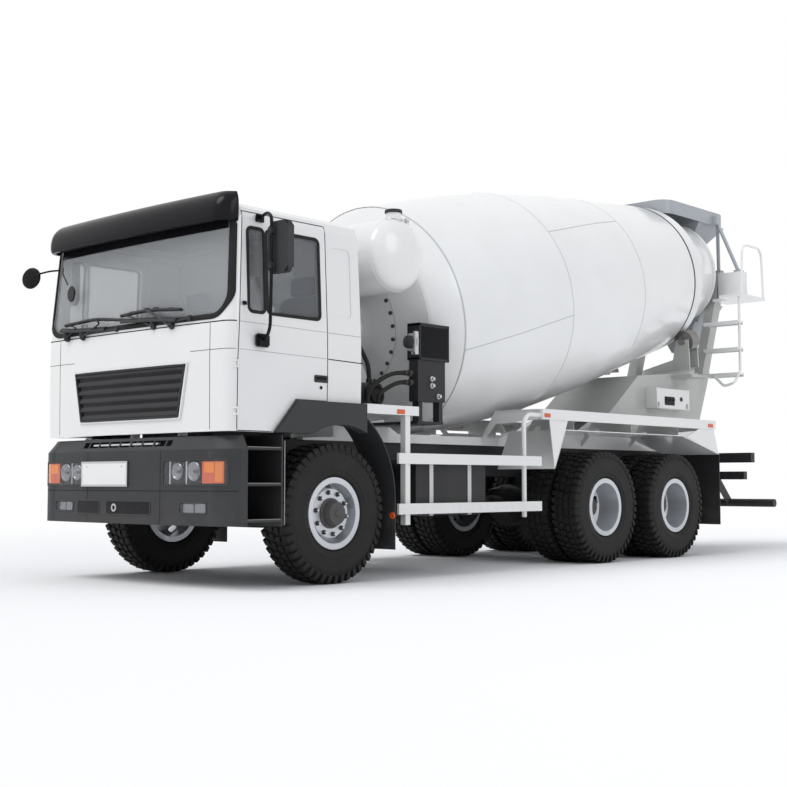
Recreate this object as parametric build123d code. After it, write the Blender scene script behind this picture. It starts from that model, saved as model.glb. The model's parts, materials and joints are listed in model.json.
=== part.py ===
from build123d import *
import math
import os

# Concrete mixer truck, three axles, millimetres.
# +X is the truck's left side, the cab faces -Y and +Z is up.
# The origin is on the ground under the middle of the truck.
# Places along the truck are given from the front axle, as offsets along +Y.

# Running gear
front_axle_y = -3265
wheelbase = 3775
tandem_pitch = 1350
tyre_radius = 558
tyre_width = 300
rim_flange_radius = 286
bead_radius = 254
hub_height = tyre_radius
rim_edge = 33
bead_clearance = 0.3
front_wheel_x = 1022
rear_outer_wheel_x = 1085
twin_spacing = 345
running_clearance = 0.3
disc_thickness = 14
disc_flat = 190
hand_hole_count = 5
hand_hole_reach = 215

# Steering and axles
kingpin_x = 840
kingpin_radius = 24
spindle_radius = 46
rear_spindle_radius = 62
rear_disc_bore = 96
tie_rod_back = 330
tie_rod_z = 470
tie_rod_radius = 18
tie_rod_eye = 26
tie_rod_pin = 11
beam_height = 110
beam_width = 110
beam_drop = 70
axle_tube_radius = 78

# Chassis frame
rail_x = 430
rail_top = 1165
rail_height = 300
rail_flange = 80
rail_wall = 10
rail_front = -990
rail_rear = 7080
sub_rail_height = 161
sub_rail_width = 80

# Cab, as offsets from the front axle and heights
cab_wall = 45
cab_bottom = 1181
cab_floor = 1300
cab_floor_thickness = 40
cab_rear = 280
cab_bow = 25
cab_corner = 85
cab_rear_corner = 40
tunnel_half_width = 480
tunnel_top = 1560
pivot_y = -1060
pivot_z = 950
pivot_radius = 22
door_front = -1055
door_rear = -133
door_gap = 7
hinge_x = 1206
hinge_y = -1060
hinge_radius = 9
hinge_pin = 5
hinge_eye = 15
hinge_heights = (1330, 1680)
door_top = 2835
arch_front = -700
arch_step = -470
fender_top = 1436
fender_proud = 45
arch_radius = 700
glass_inset = 14
glass_thickness = 6
glass_clearance = 0.3
panel_depth = 9
visor_corner = 120
visor_bow = 30
visor_rear = -1035
visor_wall = 22
window_sill = 2080
window_head = 2720

# Drum, along its own axis
drum_y = 1699
drum_z = 2325
drum_angle = 11.5
drum_wall = 8
ring_at = 4693
ring_radius = 880
roller_radius = 125
roller_width = 150
roller_angle = 38

# Body on the subframe
half_width = 1225
deck_thickness = 6
tank_y = 860
tank_z = 2755
tank_radius = 318
tank_half_length = 1160
filler_x = 1000
filler_rise = 45
filler_radius = 66
sub_rail_rear_top = 1512
sub_rail_belly_top = 1245
deck_inner = 640
mouth_radius = 610
chute_y = 7430
chute_post = 34
tow_y = 7240
tow_bore = 20
chute_hinge_z = 2092
funnel_low = 2455
hopper_front = 6260
hopper_rear = 7740
hopper_low = 4035

hose_radius = 19
cooler_front = 1036
upper_port = (1060, 1740)
lower_port = (1066, 1660)
filter_y = 745
filter_z = 1552
filter_radius = 108

# Bumper
bumper_half_width = 1235
bumper_front = -1215
bumper_rear = -985
bumper_bottom = 480
bumper_shoulder = 1050
bumper_top = 1150
bumper_wall = 40
lamp_depth = 30
plate_width = 620
plate_x = -225
plate_low = 770
plate_high = 970
step_well_rear = -626


def place(y):
    return front_axle_y + y


def block(x0, x1, y0, y1, z0, z1):
    centre = Pos((x0 + x1) / 2, place((y0 + y1) / 2), (z0 + z1) / 2)
    return centre * Box(x1 - x0, y1 - y0, z1 - z0)


def rod(start, end, radius):
    foot = Vector(start[0], place(start[1]), start[2])
    reach = Vector(end[0], place(end[1]), end[2]) - foot
    return extrude(Plane(origin=foot, z_dir=reach) * Circle(radius), amount=reach.length)


def side_plate(outline, x0, x1):
    points = [(x0, place(y), z) for y, z in outline]
    return extrude(make_face(Polyline(*points, close=True)), amount=x1 - x0, dir=(1, 0, 0))


def bent_tube(points, radius, bend):
    route = FilletPolyline(*[(x, place(y), z) for x, y, z in points], radius=bend)
    return sweep(Plane(origin=route @ 0, z_dir=route % 0) * Circle(radius), path=route)


def write_piece(node, *shapes):
    solids = []
    for shape in shapes:
        group = shape if isinstance(shape, list) else [shape]
        for item in group:
            solids.extend(item.solids())
    whole = solids[0] if len(solids) == 1 else Compound(solids)
    export_step(whole, f"parts/{node}.step")


# Wheels

def spun_about_x(outline, x, y):
    points = [(x + along, place(y), hub_height + out) for along, out in outline]
    face = make_face(Polyline(*points, close=True))
    return revolve(face, axis=Axis((0, place(y), hub_height), (1, 0, 0)))


def tyre(x, y):
    half = tyre_width / 2
    seat = half - rim_edge - bead_clearance
    inner = bead_radius + bead_clearance
    shoulder = tyre_radius - 26
    right = [(seat, inner), (seat, rim_flange_radius + 4), (half - 8, rim_flange_radius + 40), (half, 400),
             (half - 6, shoulder - 50), (half - 20, shoulder), (half - 60, tyre_radius - 3), (0, tyre_radius)]
    left = [(-along, out) for along, out in reversed(right[:-1])]
    return spun_about_x(right + left, x, y)


# The disc stands at disc_x and the wheel's outside is towards side (1 or -1).
def rim(x, y, side, disc_x, bore):
    half = tyre_width / 2 - rim_edge
    lip = 14
    barrel = [
        (-half - lip, bead_radius - 14), (half + lip, bead_radius - 14), (half + lip, rim_flange_radius),
        (half, rim_flange_radius), (half, bead_radius), (-half, bead_radius), (-half, rim_flange_radius),
        (-half - lip, rim_flange_radius),
    ]
    wheel = spun_about_x(barrel, x, y)
    disc = [(disc_x, bore), (disc_x + side * disc_thickness, bore), (disc_x + side * disc_thickness, disc_flat + 3),
            (disc_x + side * -40, bead_radius - 13), (disc_x + side * -54, bead_radius - 13), (disc_x, disc_flat)]
    return wheel + spun_about_x(disc, x, y)


def hand_holes(x, y):
    holes = []
    for step in range(hand_hole_count):
        turn = math.radians(90 + 360 / hand_hole_count * step)
        centre = (x - 150, place(y + hand_hole_reach * math.cos(turn)), hub_height + hand_hole_reach * math.sin(turn))
        across = Plane(origin=centre, x_dir=(0, -math.sin(turn), math.cos(turn)), z_dir=(1, 0, 0))
        holes.append(extrude(across * SlotOverall(84, 32), amount=300))
    return holes


def front_wheel(side):
    x = side * front_wheel_x
    rubber = tyre(x, 0)
    disc_at = side * 70
    wheel = rim(x, 0, side, disc_at, 95)
    for hole in hand_holes(x + disc_at, 0):
        wheel = wheel - hole
    hub = [(side * -56, spindle_radius + running_clearance), (side * -56, 130), (side * 0, 130), (disc_at, 140),
           (disc_at, 96), (side * 150, 90), (side * 165, 60), (side * 165, 0), (side * 120, 0),
           (side * 120, spindle_radius + running_clearance)]
    wheel = wheel + spun_about_x(hub, x, 0)
    return rubber, wheel


def rear_wheel(side, y):
    outer_x = side * rear_outer_wheel_x
    inner_x = side * (rear_outer_wheel_x - twin_spacing)
    rubber = [tyre(outer_x, y), tyre(inner_x, y)]
    reach = side * (twin_spacing / 2 - disc_thickness)
    outer = rim(outer_x, y, -side, -reach, rear_disc_bore)
    inner = rim(inner_x, y, side, reach, rear_disc_bore)
    mid = (outer_x + inner_x) / 2
    for hole in hand_holes(mid, y):
        outer = outer - hole
        inner = inner - hole
    flange = side * (-twin_spacing / 2 - disc_thickness - 4)
    hub = [(side * -260, rear_spindle_radius + running_clearance), (side * -260, 150), (flange, 150),
           (flange, rear_disc_bore + 1), (side * -90, rear_disc_bore + 1), (side * -85, 85), (side * -45, 82), (side * -30, 60),
           (side * -30, 0), (side * -60, 0), (side * -60, rear_spindle_radius + running_clearance)]
    wheel = outer + inner + spun_about_x(hub, outer_x, y)
    return rubber, wheel


# Axles and steering

def front_axle():
    low = hub_height - beam_drop
    middle = block(-520, 520, -beam_width / 2, beam_width / 2, low - beam_height / 2, low + beam_height / 2)
    ends = []
    for side in (-1, 1):
        bend, tip = side * (kingpin_x - 72), side * (kingpin_x + 38)
        outline = [(side * 520, low - 55), (side * 520, low + 55), (bend, hub_height + 55),
                   (tip, hub_height + 55), (tip, hub_height - 55), (bend, hub_height - 55)]
        points = [(x, place(-45), z) for x, z in outline]
        arm = extrude(make_face(Polyline(*points, close=True)), amount=90, dir=(0, 1, 0))
        arm = arm + rod((side * kingpin_x, 0, hub_height - 55), (side * kingpin_x, 0, hub_height + 55), 48)
        pin = rod((side * kingpin_x, 0, hub_height - 120), (side * kingpin_x, 0, hub_height + 120), kingpin_radius)
        ends.append(arm + pin)
    pads = [block(side * 390 - 60, side * 390 + 60, -90, 90, low + 50, low + 75) for side in (-1, 1)]
    beam = middle + ends[0] + ends[1]
    for pad in pads:
        beam = beam + pad
    return beam


# The fork closes round the beam's end above and below and carries the spindle.
def knuckle(side):
    gap = 56
    fork = []
    for low, high in ((hub_height + gap, hub_height + 100), (hub_height - 100, hub_height - gap)):
        ear = rod((side * kingpin_x, 0, low), (side * kingpin_x, 0, high), 46)
        link = block(min(side * kingpin_x, side * 960), max(side * kingpin_x, side * 960), -40, 40, low, high)
        fork.append(ear + link)
    body = fork[0] + fork[1]
    plate_x = (side * 934, side * 960)
    body = body + block(min(plate_x), max(plate_x), -70, 70, hub_height - 100, hub_height + 100)
    body = body - rod((side * kingpin_x, 0, hub_height - 130), (side * kingpin_x, 0, hub_height + 130),
                      kingpin_radius + running_clearance)
    body = body + rod((side * 950, 0, hub_height), (side * (front_wheel_x + 115), 0, hub_height), spindle_radius)
    arm = side_arm(side)
    return body + arm


# Both arms run straight back, so that the rod between them moves as a parallelogram and stays level with the axle.
def side_arm(side):
    low = hub_height - 100
    x = side * kingpin_x
    bar = block(x - 18, x + 18, 32, tie_rod_back, low + 2, low + 28)
    end = rod((x, tie_rod_back, low - 5), (x, tie_rod_back, low + 35), tie_rod_eye)
    pin = rod((x, tie_rod_back, tie_rod_z - 62), (x, tie_rod_back, low), tie_rod_pin)
    return bar + end + pin


def tie_rod():
    z = tie_rod_z - 45
    bar = rod((-kingpin_x + 20, tie_rod_back, z), (kingpin_x - 20, tie_rod_back, z), tie_rod_radius)
    for side in (-1, 1):
        x = side * kingpin_x
        eye = rod((x, tie_rod_back, z - 20), (x, tie_rod_back, z + 20), tie_rod_eye)
        bore = rod((x, tie_rod_back, z - 40), (x, tie_rod_back, z + 40), tie_rod_pin + running_clearance)
        bar = bar + eye - bore
    return bar


def rear_axle(y):
    tube_end = rear_outer_wheel_x - 262
    tube = rod((-tube_end, y, hub_height), (tube_end, y, hub_height), axle_tube_radius)
    case = Pos(0, place(y), hub_height) * Sphere(215)
    spindle_end = rear_outer_wheel_x - 70
    spindle = rod((-spindle_end, y, hub_height), (spindle_end, y, hub_height), rear_spindle_radius)
    nose = rod((0, y - 340, hub_height + 20), (0, y, hub_height), 95)
    axle = tube + case + spindle + nose
    for side in (-1, 1):
        x = side * (rear_outer_wheel_x - twin_spacing - 165)
        axle = axle + rod((x, y, hub_height), (x - side * 30, y, hub_height), 190)
        seat = block(side * 390 - 50, side * 390 + 50, y - 70, y + 70, hub_height + 50, hub_height + 100)
        axle = axle + seat
    return axle


def propshafts():
    first = rod((0, 626, 800), (0, wheelbase - 341, hub_height + 22), 55)
    second = rod((0, wheelbase + 216, hub_height + 10), (0, wheelbase + tandem_pitch - 341, hub_height + 21), 50)
    return [first, second]


def leaf_pack(y, half_length, z_low, z_end, leaves, x, hang):
    pack = None
    for number in range(leaves):
        reach = half_length * (1 - 0.11 * number)
        drop = (z_end - z_low) * (reach / half_length) ** 2
        low = z_low - hang * 14 * number
        lower = ThreePointArc((x, place(y - reach), low + drop), (x, place(y), low), (x, place(y + reach), low + drop))
        upper = ThreePointArc((x, place(y - reach), low + drop + 14), (x, place(y), low + 14),
                              (x, place(y + reach), low + drop + 14))
        ends = [Line(lower @ 0, upper @ 0), Line(lower @ 1, upper @ 1)]
        leaf = extrude(make_face([lower, upper] + ends), amount=80, dir=(1, 0, 0))
        pack = leaf if pack is None else pack + leaf
    return pack


def leaf_springs():
    seat = hub_height - beam_drop + 75
    packs = []
    for side in (-1, 1):
        x = side * 390 - 40
        front = leaf_pack(0, 760, seat + 42, seat + 170, 4, x, 1)
        low = seat + 170
        for end in (-740, 740):
            front = front + block(x, x + 80, end - 30, end + 30, low - 20, rail_top - rail_height)
        packs.append(front)
        middle = wheelbase + tandem_pitch / 2
        seat_rear = hub_height + 100
        rear = leaf_pack(middle, tandem_pitch / 2 + 60, seat_rear + 60, seat_rear, 1, x, 1)
        for number in range(1, 5):
            thick = leaf_pack(middle, tandem_pitch / 2 - 90 * number, seat_rear + 60 + 14 * number,
                              seat_rear + 30 + 14 * number, 1, x, 1)
            rear = rear + thick
        rear = rear + block(x, x + 80, middle - 110, middle + 110, seat_rear + 60, rail_top - rail_height)
        packs.append(rear)
    return packs


# Chassis

def frame_rail(side):
    web = side * rail_x
    inner = web - side * rail_flange
    low = rail_top - rail_height
    outer = block(min(web, inner), max(web, inner), rail_front, rail_rear, low, rail_top)
    hollow = block(min(web - side * rail_wall, inner - side * 5), max(web - side * rail_wall, inner - side * 5),
                   rail_front - 5, rail_rear + 5, low + rail_wall, rail_top - rail_wall)
    return outer - hollow


def chassis_frame():
    frame = frame_rail(1) + frame_rail(-1)
    low = rail_top - rail_height
    frame = frame + block(-rail_x + 5, rail_x - 5, -875, -785, low + 10, low + 100)
    for y in (700, 1900, 2900, 4450, 5900, 6950):
        frame = frame + block(-rail_x + 5, rail_x - 5, y - 45, y + 45, low + 60, rail_top - 60)
    nose = [(-1100, -10), (-1080, -35), (-1000, -60), (-900, -60), (-900, 150), (-1000, 130), (-1100, 40)]
    for side in (-1, 1):
        cheek = sorted((side * (rail_x - rail_wall), side * rail_x))
        plate = side_plate([(y, pivot_z + z) for y, z in nose], *cheek)
        pin = rod((side * 280, pivot_y, pivot_z), (side * (rail_x - 5), pivot_y, pivot_z), pivot_radius)
        rest = block(*sorted((side * 350, side * 428)), 190, 270, rail_top - 5, cab_bottom)
        frame = frame + plate + pin + rest
    return frame


def engine_block():
    body = block(-335, 335, -770, 530, 700, 1480)
    for side in (-1, 1):
        for y in (-600, 60):
            body = body + block(min(side * 330, side * 425), max(side * 330, side * 425), y - 50, y + 50,
                                rail_top, rail_top + 25)
    gearbox = rod((0, 525, 860), (0, 620, 860), 210)
    return body + gearbox


# Cab, made of plan sections whose table gives height, half width, nose, tail and a roof mark.
cab_sections = (
    (1181, 1192, -1160, 280, 0),
    (1740, 1200, -1165, 280, 0),
    (1985, 1197, -1163, 280, 0),
    (2800, 1160, -1098, 270, 0),
    (2868, 1135, -1078, 258, 1),
    (2905, 1085, -1030, 225, 1),
    (2925, 930, -880, 110, 1),
)


def cab_section(z, half, nose, tail):
    corner = cab_corner
    back = cab_rear_corner
    front = nose + cab_bow
    cos45 = math.sqrt(0.5)
    near = (half - corner + corner * cos45, place(front + corner - corner * cos45))
    far = (half - back + back * cos45, place(tail - back + back * cos45))
    nose_arc = ThreePointArc((-half + corner, place(front)), (0, place(nose)), (half - corner, place(front)))
    lines = [
        nose_arc,
        ThreePointArc((half - corner, place(front)), near, (half, place(front + corner))),
        Line((half, place(front + corner)), (half, place(tail - back))),
        ThreePointArc((half, place(tail - back)), far, (half - back, place(tail))),
        Line((half - back, place(tail)), (-half + back, place(tail))),
        ThreePointArc((-half + back, place(tail)), (-far[0], far[1]), (-half, place(tail - back))),
        Line((-half, place(tail - back)), (-half, place(front + corner))),
        ThreePointArc((-half, place(front + corner)), (-near[0], near[1]), (-half + corner, place(front))),
    ]
    return Pos(0, 0, z) * make_face(lines)


def cab_solid(inset):
    faces = []
    for z, half, nose, tail, roof in cab_sections:
        level = z - inset * roof
        faces.append(cab_section(level, half - inset, nose + inset, tail - inset))
    return loft(faces, ruled=True)


def cab_layer(outer, inner):
    return cab_solid(outer) - cab_solid(inner)


door_outline = [(door_front, cab_bottom + 9), (door_front, 1740), (-990, door_top), (door_rear, door_top),
                (door_rear, fender_top + 9), (arch_step - 2, fender_top + 9), (arch_front - 8, cab_bottom + 9)]
fender_outline = [(arch_front, cab_bottom), (arch_step, fender_top), (cab_rear, fender_top), (cab_rear, cab_bottom)]


def grown(outline, gap):
    face = make_face(Polyline(*[(y, z) for y, z in outline], close=True))
    return offset(face, amount=gap)


def side_prism(flat, x0, x1):
    plane = Plane(origin=(x0, place(0), 0), x_dir=(0, 1, 0), z_dir=(1, 0, 0))
    return extrude(plane * flat, amount=x1 - x0)


def rounded_window(y0, y1, z0, z1, radius):
    return Pos((y0 + y1) / 2, (z0 + z1) / 2) * RectangleRounded(y1 - y0, z1 - z0, radius)


def front_prism(flat, y0, y1):
    plane = Plane(origin=(0, place(y1), 0), x_dir=(1, 0, 0), z_dir=(0, -1, 0))
    return extrude(plane * flat, amount=y1 - y0)


door_window = (-950, -205, window_sill, window_head)
quarter_panel = (-85, 150, window_sill + 40, window_head - 40)
vent_bar = (-785, -762)
back_window = (-420, 420, 2150, 2620)

# Windscreen, seen from the front: half widths at foot and head, heights and corner radii.
screen_foot_half = 1168
screen_head_half = 1128
screen_low = 2040
screen_high = 2795
screen_foot_radius = 170
screen_head_radius = 80


def windscreen_face(shrink):
    corners = [(-screen_foot_half, screen_low), (screen_foot_half, screen_low),
               (screen_head_half, screen_high), (-screen_head_half, screen_high)]
    face = make_face(Polyline(*corners, close=True))
    face = fillet(face.vertices().sort_by(Axis.Y)[:2], screen_foot_radius)
    face = fillet(face.vertices().sort_by(Axis.Y)[-2:], screen_head_radius)
    return offset(face, amount=-shrink) if shrink else face


# The arm from the hinge pin runs back and then up to the floor, so that it clears the bumper as the cab tips.
def cab_arm(side):
    outline = [(-20, -40), (30, -40), (235, 80), (235, cab_floor + 5 - pivot_z), (165, cab_floor + 5 - pivot_z),
               (165, 135), (-20, 40)]
    arm = side_plate([(pivot_y + y, pivot_z + z) for y, z in outline], *sorted((side * 290, side * 330)))
    arm = arm + rod((side * 290, pivot_y, pivot_z), (side * 330, pivot_y, pivot_z), 45)
    return arm - rod((side * 250, pivot_y, pivot_z), (side * 400, pivot_y, pivot_z), pivot_radius + running_clearance)


# Door hinges: the cab's two ears hold the pin, and the door's eye turns on it between them.
def hinge_spans():
    spans = []
    for middle in hinge_heights:
        spans.append((middle - hinge_eye - running_clearance - 16, middle - hinge_eye - running_clearance))
        spans.append((middle + hinge_eye + running_clearance, middle + hinge_eye + running_clearance + 16))
    return spans


def hinge_lug(side, low, high, inner_y, outer_y, radius):
    x0, x1 = sorted((side * (hinge_x - 30), side * hinge_x))
    tab = block(x0, x1, inner_y, outer_y, low, high)
    return tab + rod((side * hinge_x, hinge_y, low), (side * hinge_x, hinge_y, high), radius)


def hinge_relief(side):
    cuts = []
    for middle in hinge_heights:
        reach = hinge_eye + 24
        cuts.append(rod((side * hinge_x, hinge_y, middle - reach), (side * hinge_x, hinge_y, middle + reach), hinge_radius + 3))
    return cuts


def cab_hinges(side):
    ears = None
    for low, high in hinge_spans():
        ear = hinge_lug(side, low, high, hinge_y - 30, hinge_y, hinge_radius)
        ears = ear if ears is None else ears + ear
    for middle in hinge_heights:
        reach = hinge_eye + 12
        ears = ears + rod((side * hinge_x, hinge_y, middle - reach), (side * hinge_x, hinge_y, middle + reach), hinge_pin)
    return ears


def door_hinges(side):
    eyes = None
    for middle in hinge_heights:
        eye = hinge_lug(side, middle - hinge_eye, middle + hinge_eye, hinge_y + 3, hinge_y + 20, hinge_radius)
        bore = rod((side * hinge_x, hinge_y, middle - 60), (side * hinge_x, hinge_y, middle + 60), hinge_pin + running_clearance)
        eyes = (eye - bore) if eyes is None else eyes + (eye - bore)
    return eyes


def cab_shell():
    shell = cab_layer(0, cab_wall)
    floor = block(-1300, 1300, -1300, 400, cab_floor, cab_floor + cab_floor_thickness) & cab_solid(5)
    shell = shell + floor
    tunnel = block(-tunnel_half_width, tunnel_half_width, -830, cab_rear - 5, cab_floor, tunnel_top)
    passage = block(-tunnel_half_width + 40, tunnel_half_width - 40, -790, cab_rear + 50, cab_bottom - 50, tunnel_top - 40)
    shell = shell + tunnel - passage
    for side in (-1, 1):
        low_x, high_x = (900, 1400) if side > 0 else (-1400, -900)
        shell = shell - side_prism(grown(door_outline, door_gap), low_x, high_x)
        shell = shell - side_prism(make_face(Polyline(*fender_outline, close=True)), low_x, high_x)
        shell = shell - (cab_layer(0, panel_depth) & side_prism(rounded_window(*quarter_panel, 45), low_x, high_x))
        post = cab_arm(side)
        sill = block(min(side * 350, side * 440), max(side * 350, side * 440), 190, 275, cab_bottom, cab_floor + 5)
        for cut in hinge_relief(side):
            shell = shell - cut
        shell = shell + post + sill + cab_hinges(side)
    shell = shell - front_prism(windscreen_face(0), -1400, -800)
    shell = shell - front_prism(rounded_window(*back_window, 60), 100, 500)
    return shell


def cab_glass():
    layer = cab_layer(glass_inset, glass_inset + glass_thickness)
    panes = [layer & front_prism(windscreen_face(glass_clearance), -1400, -800)]
    x0, x1, z0, z1 = back_window
    rear_pane = rounded_window(x0 + glass_clearance, x1 - glass_clearance, z0 + glass_clearance, z1 - glass_clearance, 60)
    panes.append(layer & front_prism(rear_pane, 100, 500))
    return panes


def door(side):
    low_x, high_x = (900, 1400) if side > 0 else (-1400, -900)
    flat = make_face(Polyline(*door_outline, close=True))
    leaf = cab_layer(0, cab_wall) & side_prism(flat, low_x, high_x)
    y0, y1, z0, z1 = door_window
    leaf = leaf - side_prism(rounded_window(y0, vent_bar[0], z0, z1, 40), low_x, high_x)
    leaf = leaf - side_prism(rounded_window(vent_bar[1], y1, z0, z1, 40), low_x, high_x)
    for cut in hinge_relief(side):
        leaf = leaf - cut
    return leaf + door_hinges(side)


def door_glass(side):
    low_x, high_x = (900, 1400) if side > 0 else (-1400, -900)
    layer = cab_layer(glass_inset, glass_inset + glass_thickness)
    y0, y1, z0, z1 = door_window
    c = glass_clearance
    first = layer & side_prism(rounded_window(y0 + c, vent_bar[0] - c, z0 + c, z1 - c, 40), low_x, high_x)
    second = layer & side_prism(rounded_window(vent_bar[1] + c, y1 - c, z0 + c, z1 - c, 40), low_x, high_x)
    return [first, second]


def cab_fender(side):
    face = make_face(Polyline(*fender_outline, close=True))
    low_x, high_x = sorted((side * (1192 - cab_wall), side * (1200 + fender_proud)))
    panel = side_prism(face, low_x, high_x)
    wheel_room = rod((side * 1000, 0, tyre_radius), (side * 1400, 0, tyre_radius), arch_radius)
    return panel - wheel_room


# The visor's plan at one height: half width and nose, with a bowed front and round ends.
def visor_section(z, half, nose):
    corner = visor_corner
    front = place(nose + visor_bow)
    side_start = front + corner
    reach = corner * (1 - math.sqrt(0.5))
    rear = place(visor_rear + 200)
    lines = [
        ThreePointArc((-half + corner, front), (0, place(nose)), (half - corner, front)),
        ThreePointArc((half - corner, front), (half - reach, front + reach), (half, side_start)),
        Line((half, side_start), (half, rear)),
        Line((half, rear), (-half, rear)),
        Line((-half, rear), (-half, side_start)),
        ThreePointArc((-half, side_start), (-half + reach, front + reach), (-half + corner, front)),
    ]
    return Pos(0, 0, z) * make_face(lines)


# Visor sections from the lip to the top: height, half width and nose.
visor_sections = ((2752, 1158, -1212), (2800, 1166, -1226), (2880, 1168, -1214), (2945, 1160, -1178), (2985, 1138, -1128))


def sun_visor():
    outer = loft([visor_section(*spec) for spec in visor_sections], ruled=True)
    hollow = [(z - 1 if number == 0 else z, half - visor_wall, nose + visor_wall)
              for number, (z, half, nose) in enumerate(visor_sections[:-1])]
    shade = outer - loft([visor_section(*spec) for spec in hollow], ruled=True)
    shade = shade - block(-1300, 1300, visor_rear, 300, 2700, 3100) - cab_solid(0)
    brackets = None
    for x in (-900, 0, 900):
        arm = block(x - 25, x + 25, -1150, -1000, 2880, 2950) - cab_solid(0)
        brackets = arm if brackets is None else brackets + arm
    return shade + brackets


grille_trapezoid = [(-735, 1705), (735, 1705), (650, 1290), (-650, 1290)]


def grille():
    layer = cab_solid(-18) - cab_solid(0)
    face = make_face(Polyline(*grille_trapezoid, close=True))
    hole = offset(face, amount=-30)
    frame = layer & front_prism(face - hole, -1400, -900)
    bars = frame
    for row in range(7):
        z = 1340 + row * 53
        bar = layer & front_prism((Pos(0, z) * Rectangle(1800, 22)) & face, -1400, -900)
        bars = bars + bar
    return bars


def wipers():
    arms = []
    for x0, x1 in ((-700, -100), (100, 700)):
        base = block(x0 - 15, x0 + 15, -1200, -1120, 2002, 2030)
        arm = rod((x0, -1190, 2018), (x1, -1185, 2098), 9)
        arms.append((base + arm) - cab_solid(0))
    return arms


def seats():
    out = []
    for side in (-1, 1):
        x = side * 690
        cushion = block(x - 240, x + 240, -560, -80, 1620, 1740)
        back = side_plate([(-80, 1640), (30, 1640), (130, 2330), (40, 2330)], x - 240, x + 240)
        stand = block(x - 180, x + 180, -500, -120, cab_floor + cab_floor_thickness, 1620)
        head = block(x - 140, x + 140, 55, 135, 2345, 2500)
        stem = rod((x, 95, 2300), (x, 95, 2350), 14)
        out.append(stand + cushion + back + head + stem)
    return out


def dashboard():
    board = side_plate([(-1090, 1940), (-900, 1960), (-740, 1860), (-720, 1640), (-1090, tunnel_top + 2)], -1120, 1120)
    board = board & cab_solid(cab_wall)
    column = rod((690, -800, 1765), (690, -590, 1975), 30)
    centre = Vector(690, place(-590), 1975)
    ring = Plane(origin=centre, z_dir=(0, 200, 200)) * Torus(225, 16)
    spokes = Plane(origin=centre, z_dir=(0, 200, 200)) * (Box(440, 36, 16) + Cylinder(55, 30))
    return board + column + ring + spokes


def mirrors(side):
    low = [(side * 1196, -833, 1870), (side * 1260, -840, 1870), (side * 1330, -860, 1950), (side * 1345, -865, 2300)]
    arm = bent_tube(low, 13, 40)
    high = [(side * 1345, -865, 2300), (side * 1345, -865, 2790), (side * 1280, -850, 2830), (side * 1168, -830, 2800)]
    arm = arm + bent_tube(high, 13, 30)
    foot = block(*sorted((side * 1190, side * 1215)), -880, -790, 1840, 1900)
    head = Pos(side * 1380, place(-800), 2560) * Box(220, 70, 392)
    clip = block(*sorted((side * 1330, side * 1360)), -870, -800, 2500, 2620)
    body = arm + head + clip
    body = body - cab_solid(-0.3)
    return body


# Bumper and front lower parts

def bumper_outline(z, inset=0):
    half = bumper_half_width - inset
    nose = bumper_front + inset
    flank = half - 235
    turn_end = bumper_front + 165 + inset / 2
    lines = [
        ThreePointArc((-flank, place(nose + 50)), (0, place(nose)), (flank, place(nose + 50))),
        ThreePointArc((flank, place(nose + 50)), (half - 60, place(nose + 95)), (half, place(turn_end))),
        Line((half, place(turn_end)), (half, place(bumper_rear))),
        Line((half, place(bumper_rear)), (-half, place(bumper_rear))),
        Line((-half, place(bumper_rear)), (-half, place(turn_end))),
        ThreePointArc((-half, place(turn_end)), (-half + 60, place(nose + 95)), (-flank, place(nose + 50))),
    ]
    return Pos(0, 0, z) * make_face(lines)


def bumper_core(inset, over=0):
    lower = extrude(bumper_outline(bumper_bottom - over, inset), amount=bumper_shoulder - bumper_bottom + over)
    upper = loft([bumper_outline(bumper_shoulder, inset), bumper_outline(bumper_top, inset + 55)], ruled=True)
    core = lower + upper
    if over:
        core = core + extrude(bumper_outline(bumper_top, inset + 55), amount=over)
    return core


# Lamp windows in the bumper: inner x, outer x, lowest z, highest z.
lamp_windows = ((505, 1180, 775, 975), (690, 985, 565, 655))


def lamp_prism(window, side, shrink=0):
    x0, x1, z0, z1 = window
    flat = Pos(side * (x0 + x1) / 2, (z0 + z1) / 2) * RectangleRounded(x1 - x0 - 2 * shrink, z1 - z0 - 2 * shrink, 22)
    return front_prism(flat, -1300, -1010)


def bumper():
    body = bumper_core(0) - bumper_core(bumper_wall, 10)
    for side in (-1, 1):
        body = body + block(*sorted((side * 442, side * 470)), bumper_front + 30, bumper_rear, 900, 1040)
        body = body + block(*sorted((side * rail_x, side * 445)), bumper_rear - 5, bumper_rear + 60, 900, 1040)
        for window in lamp_windows:
            body = body - (lamp_prism(window, side) - bumper_core(lamp_depth))
    slot = front_prism(Pos(0, 1102) * Rectangle(1150, 46), -1300, -1100)
    body = body - slot
    for number in range(8):
        x = -500 + number * 1000 / 7
        body = body + (block(x - 9, x + 9, -1300, -1120, 1075, 1130) & (bumper_core(4) - bumper_core(bumper_wall)))
    return body + plate_carrier(0)


def plate_carrier(gap):
    half = plate_width / 2 + gap
    return block(plate_x - half, plate_x + half, bumper_front - 8, bumper_front + 24 + gap, plate_low - gap, plate_high + gap)


def lamps():
    glass = []
    for side in (-1, 1):
        for window in lamp_windows:
            lens = lamp_prism(window, side, glass_clearance) & (bumper_core(2) - bumper_core(lamp_depth))
            glass.append(lens - plate_carrier(glass_clearance))
    return glass


def step_well(side):
    x0, x1 = sorted((side * 820, side * half_width))
    back = block(x0, x1, step_well_rear - 14, step_well_rear, 470, 1165)
    inner = block(*sorted((side * 820, side * 835)), bumper_rear, step_well_rear, 470, 1165)
    well = back + inner
    for z in (520, 790, 1060):
        well = well + block(x0, x1, bumper_rear + 1, step_well_rear, z - 14, z + 4)
    return well + block(*sorted((side * rail_x, side * 830)), -660, -630, 950, 1010)


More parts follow.
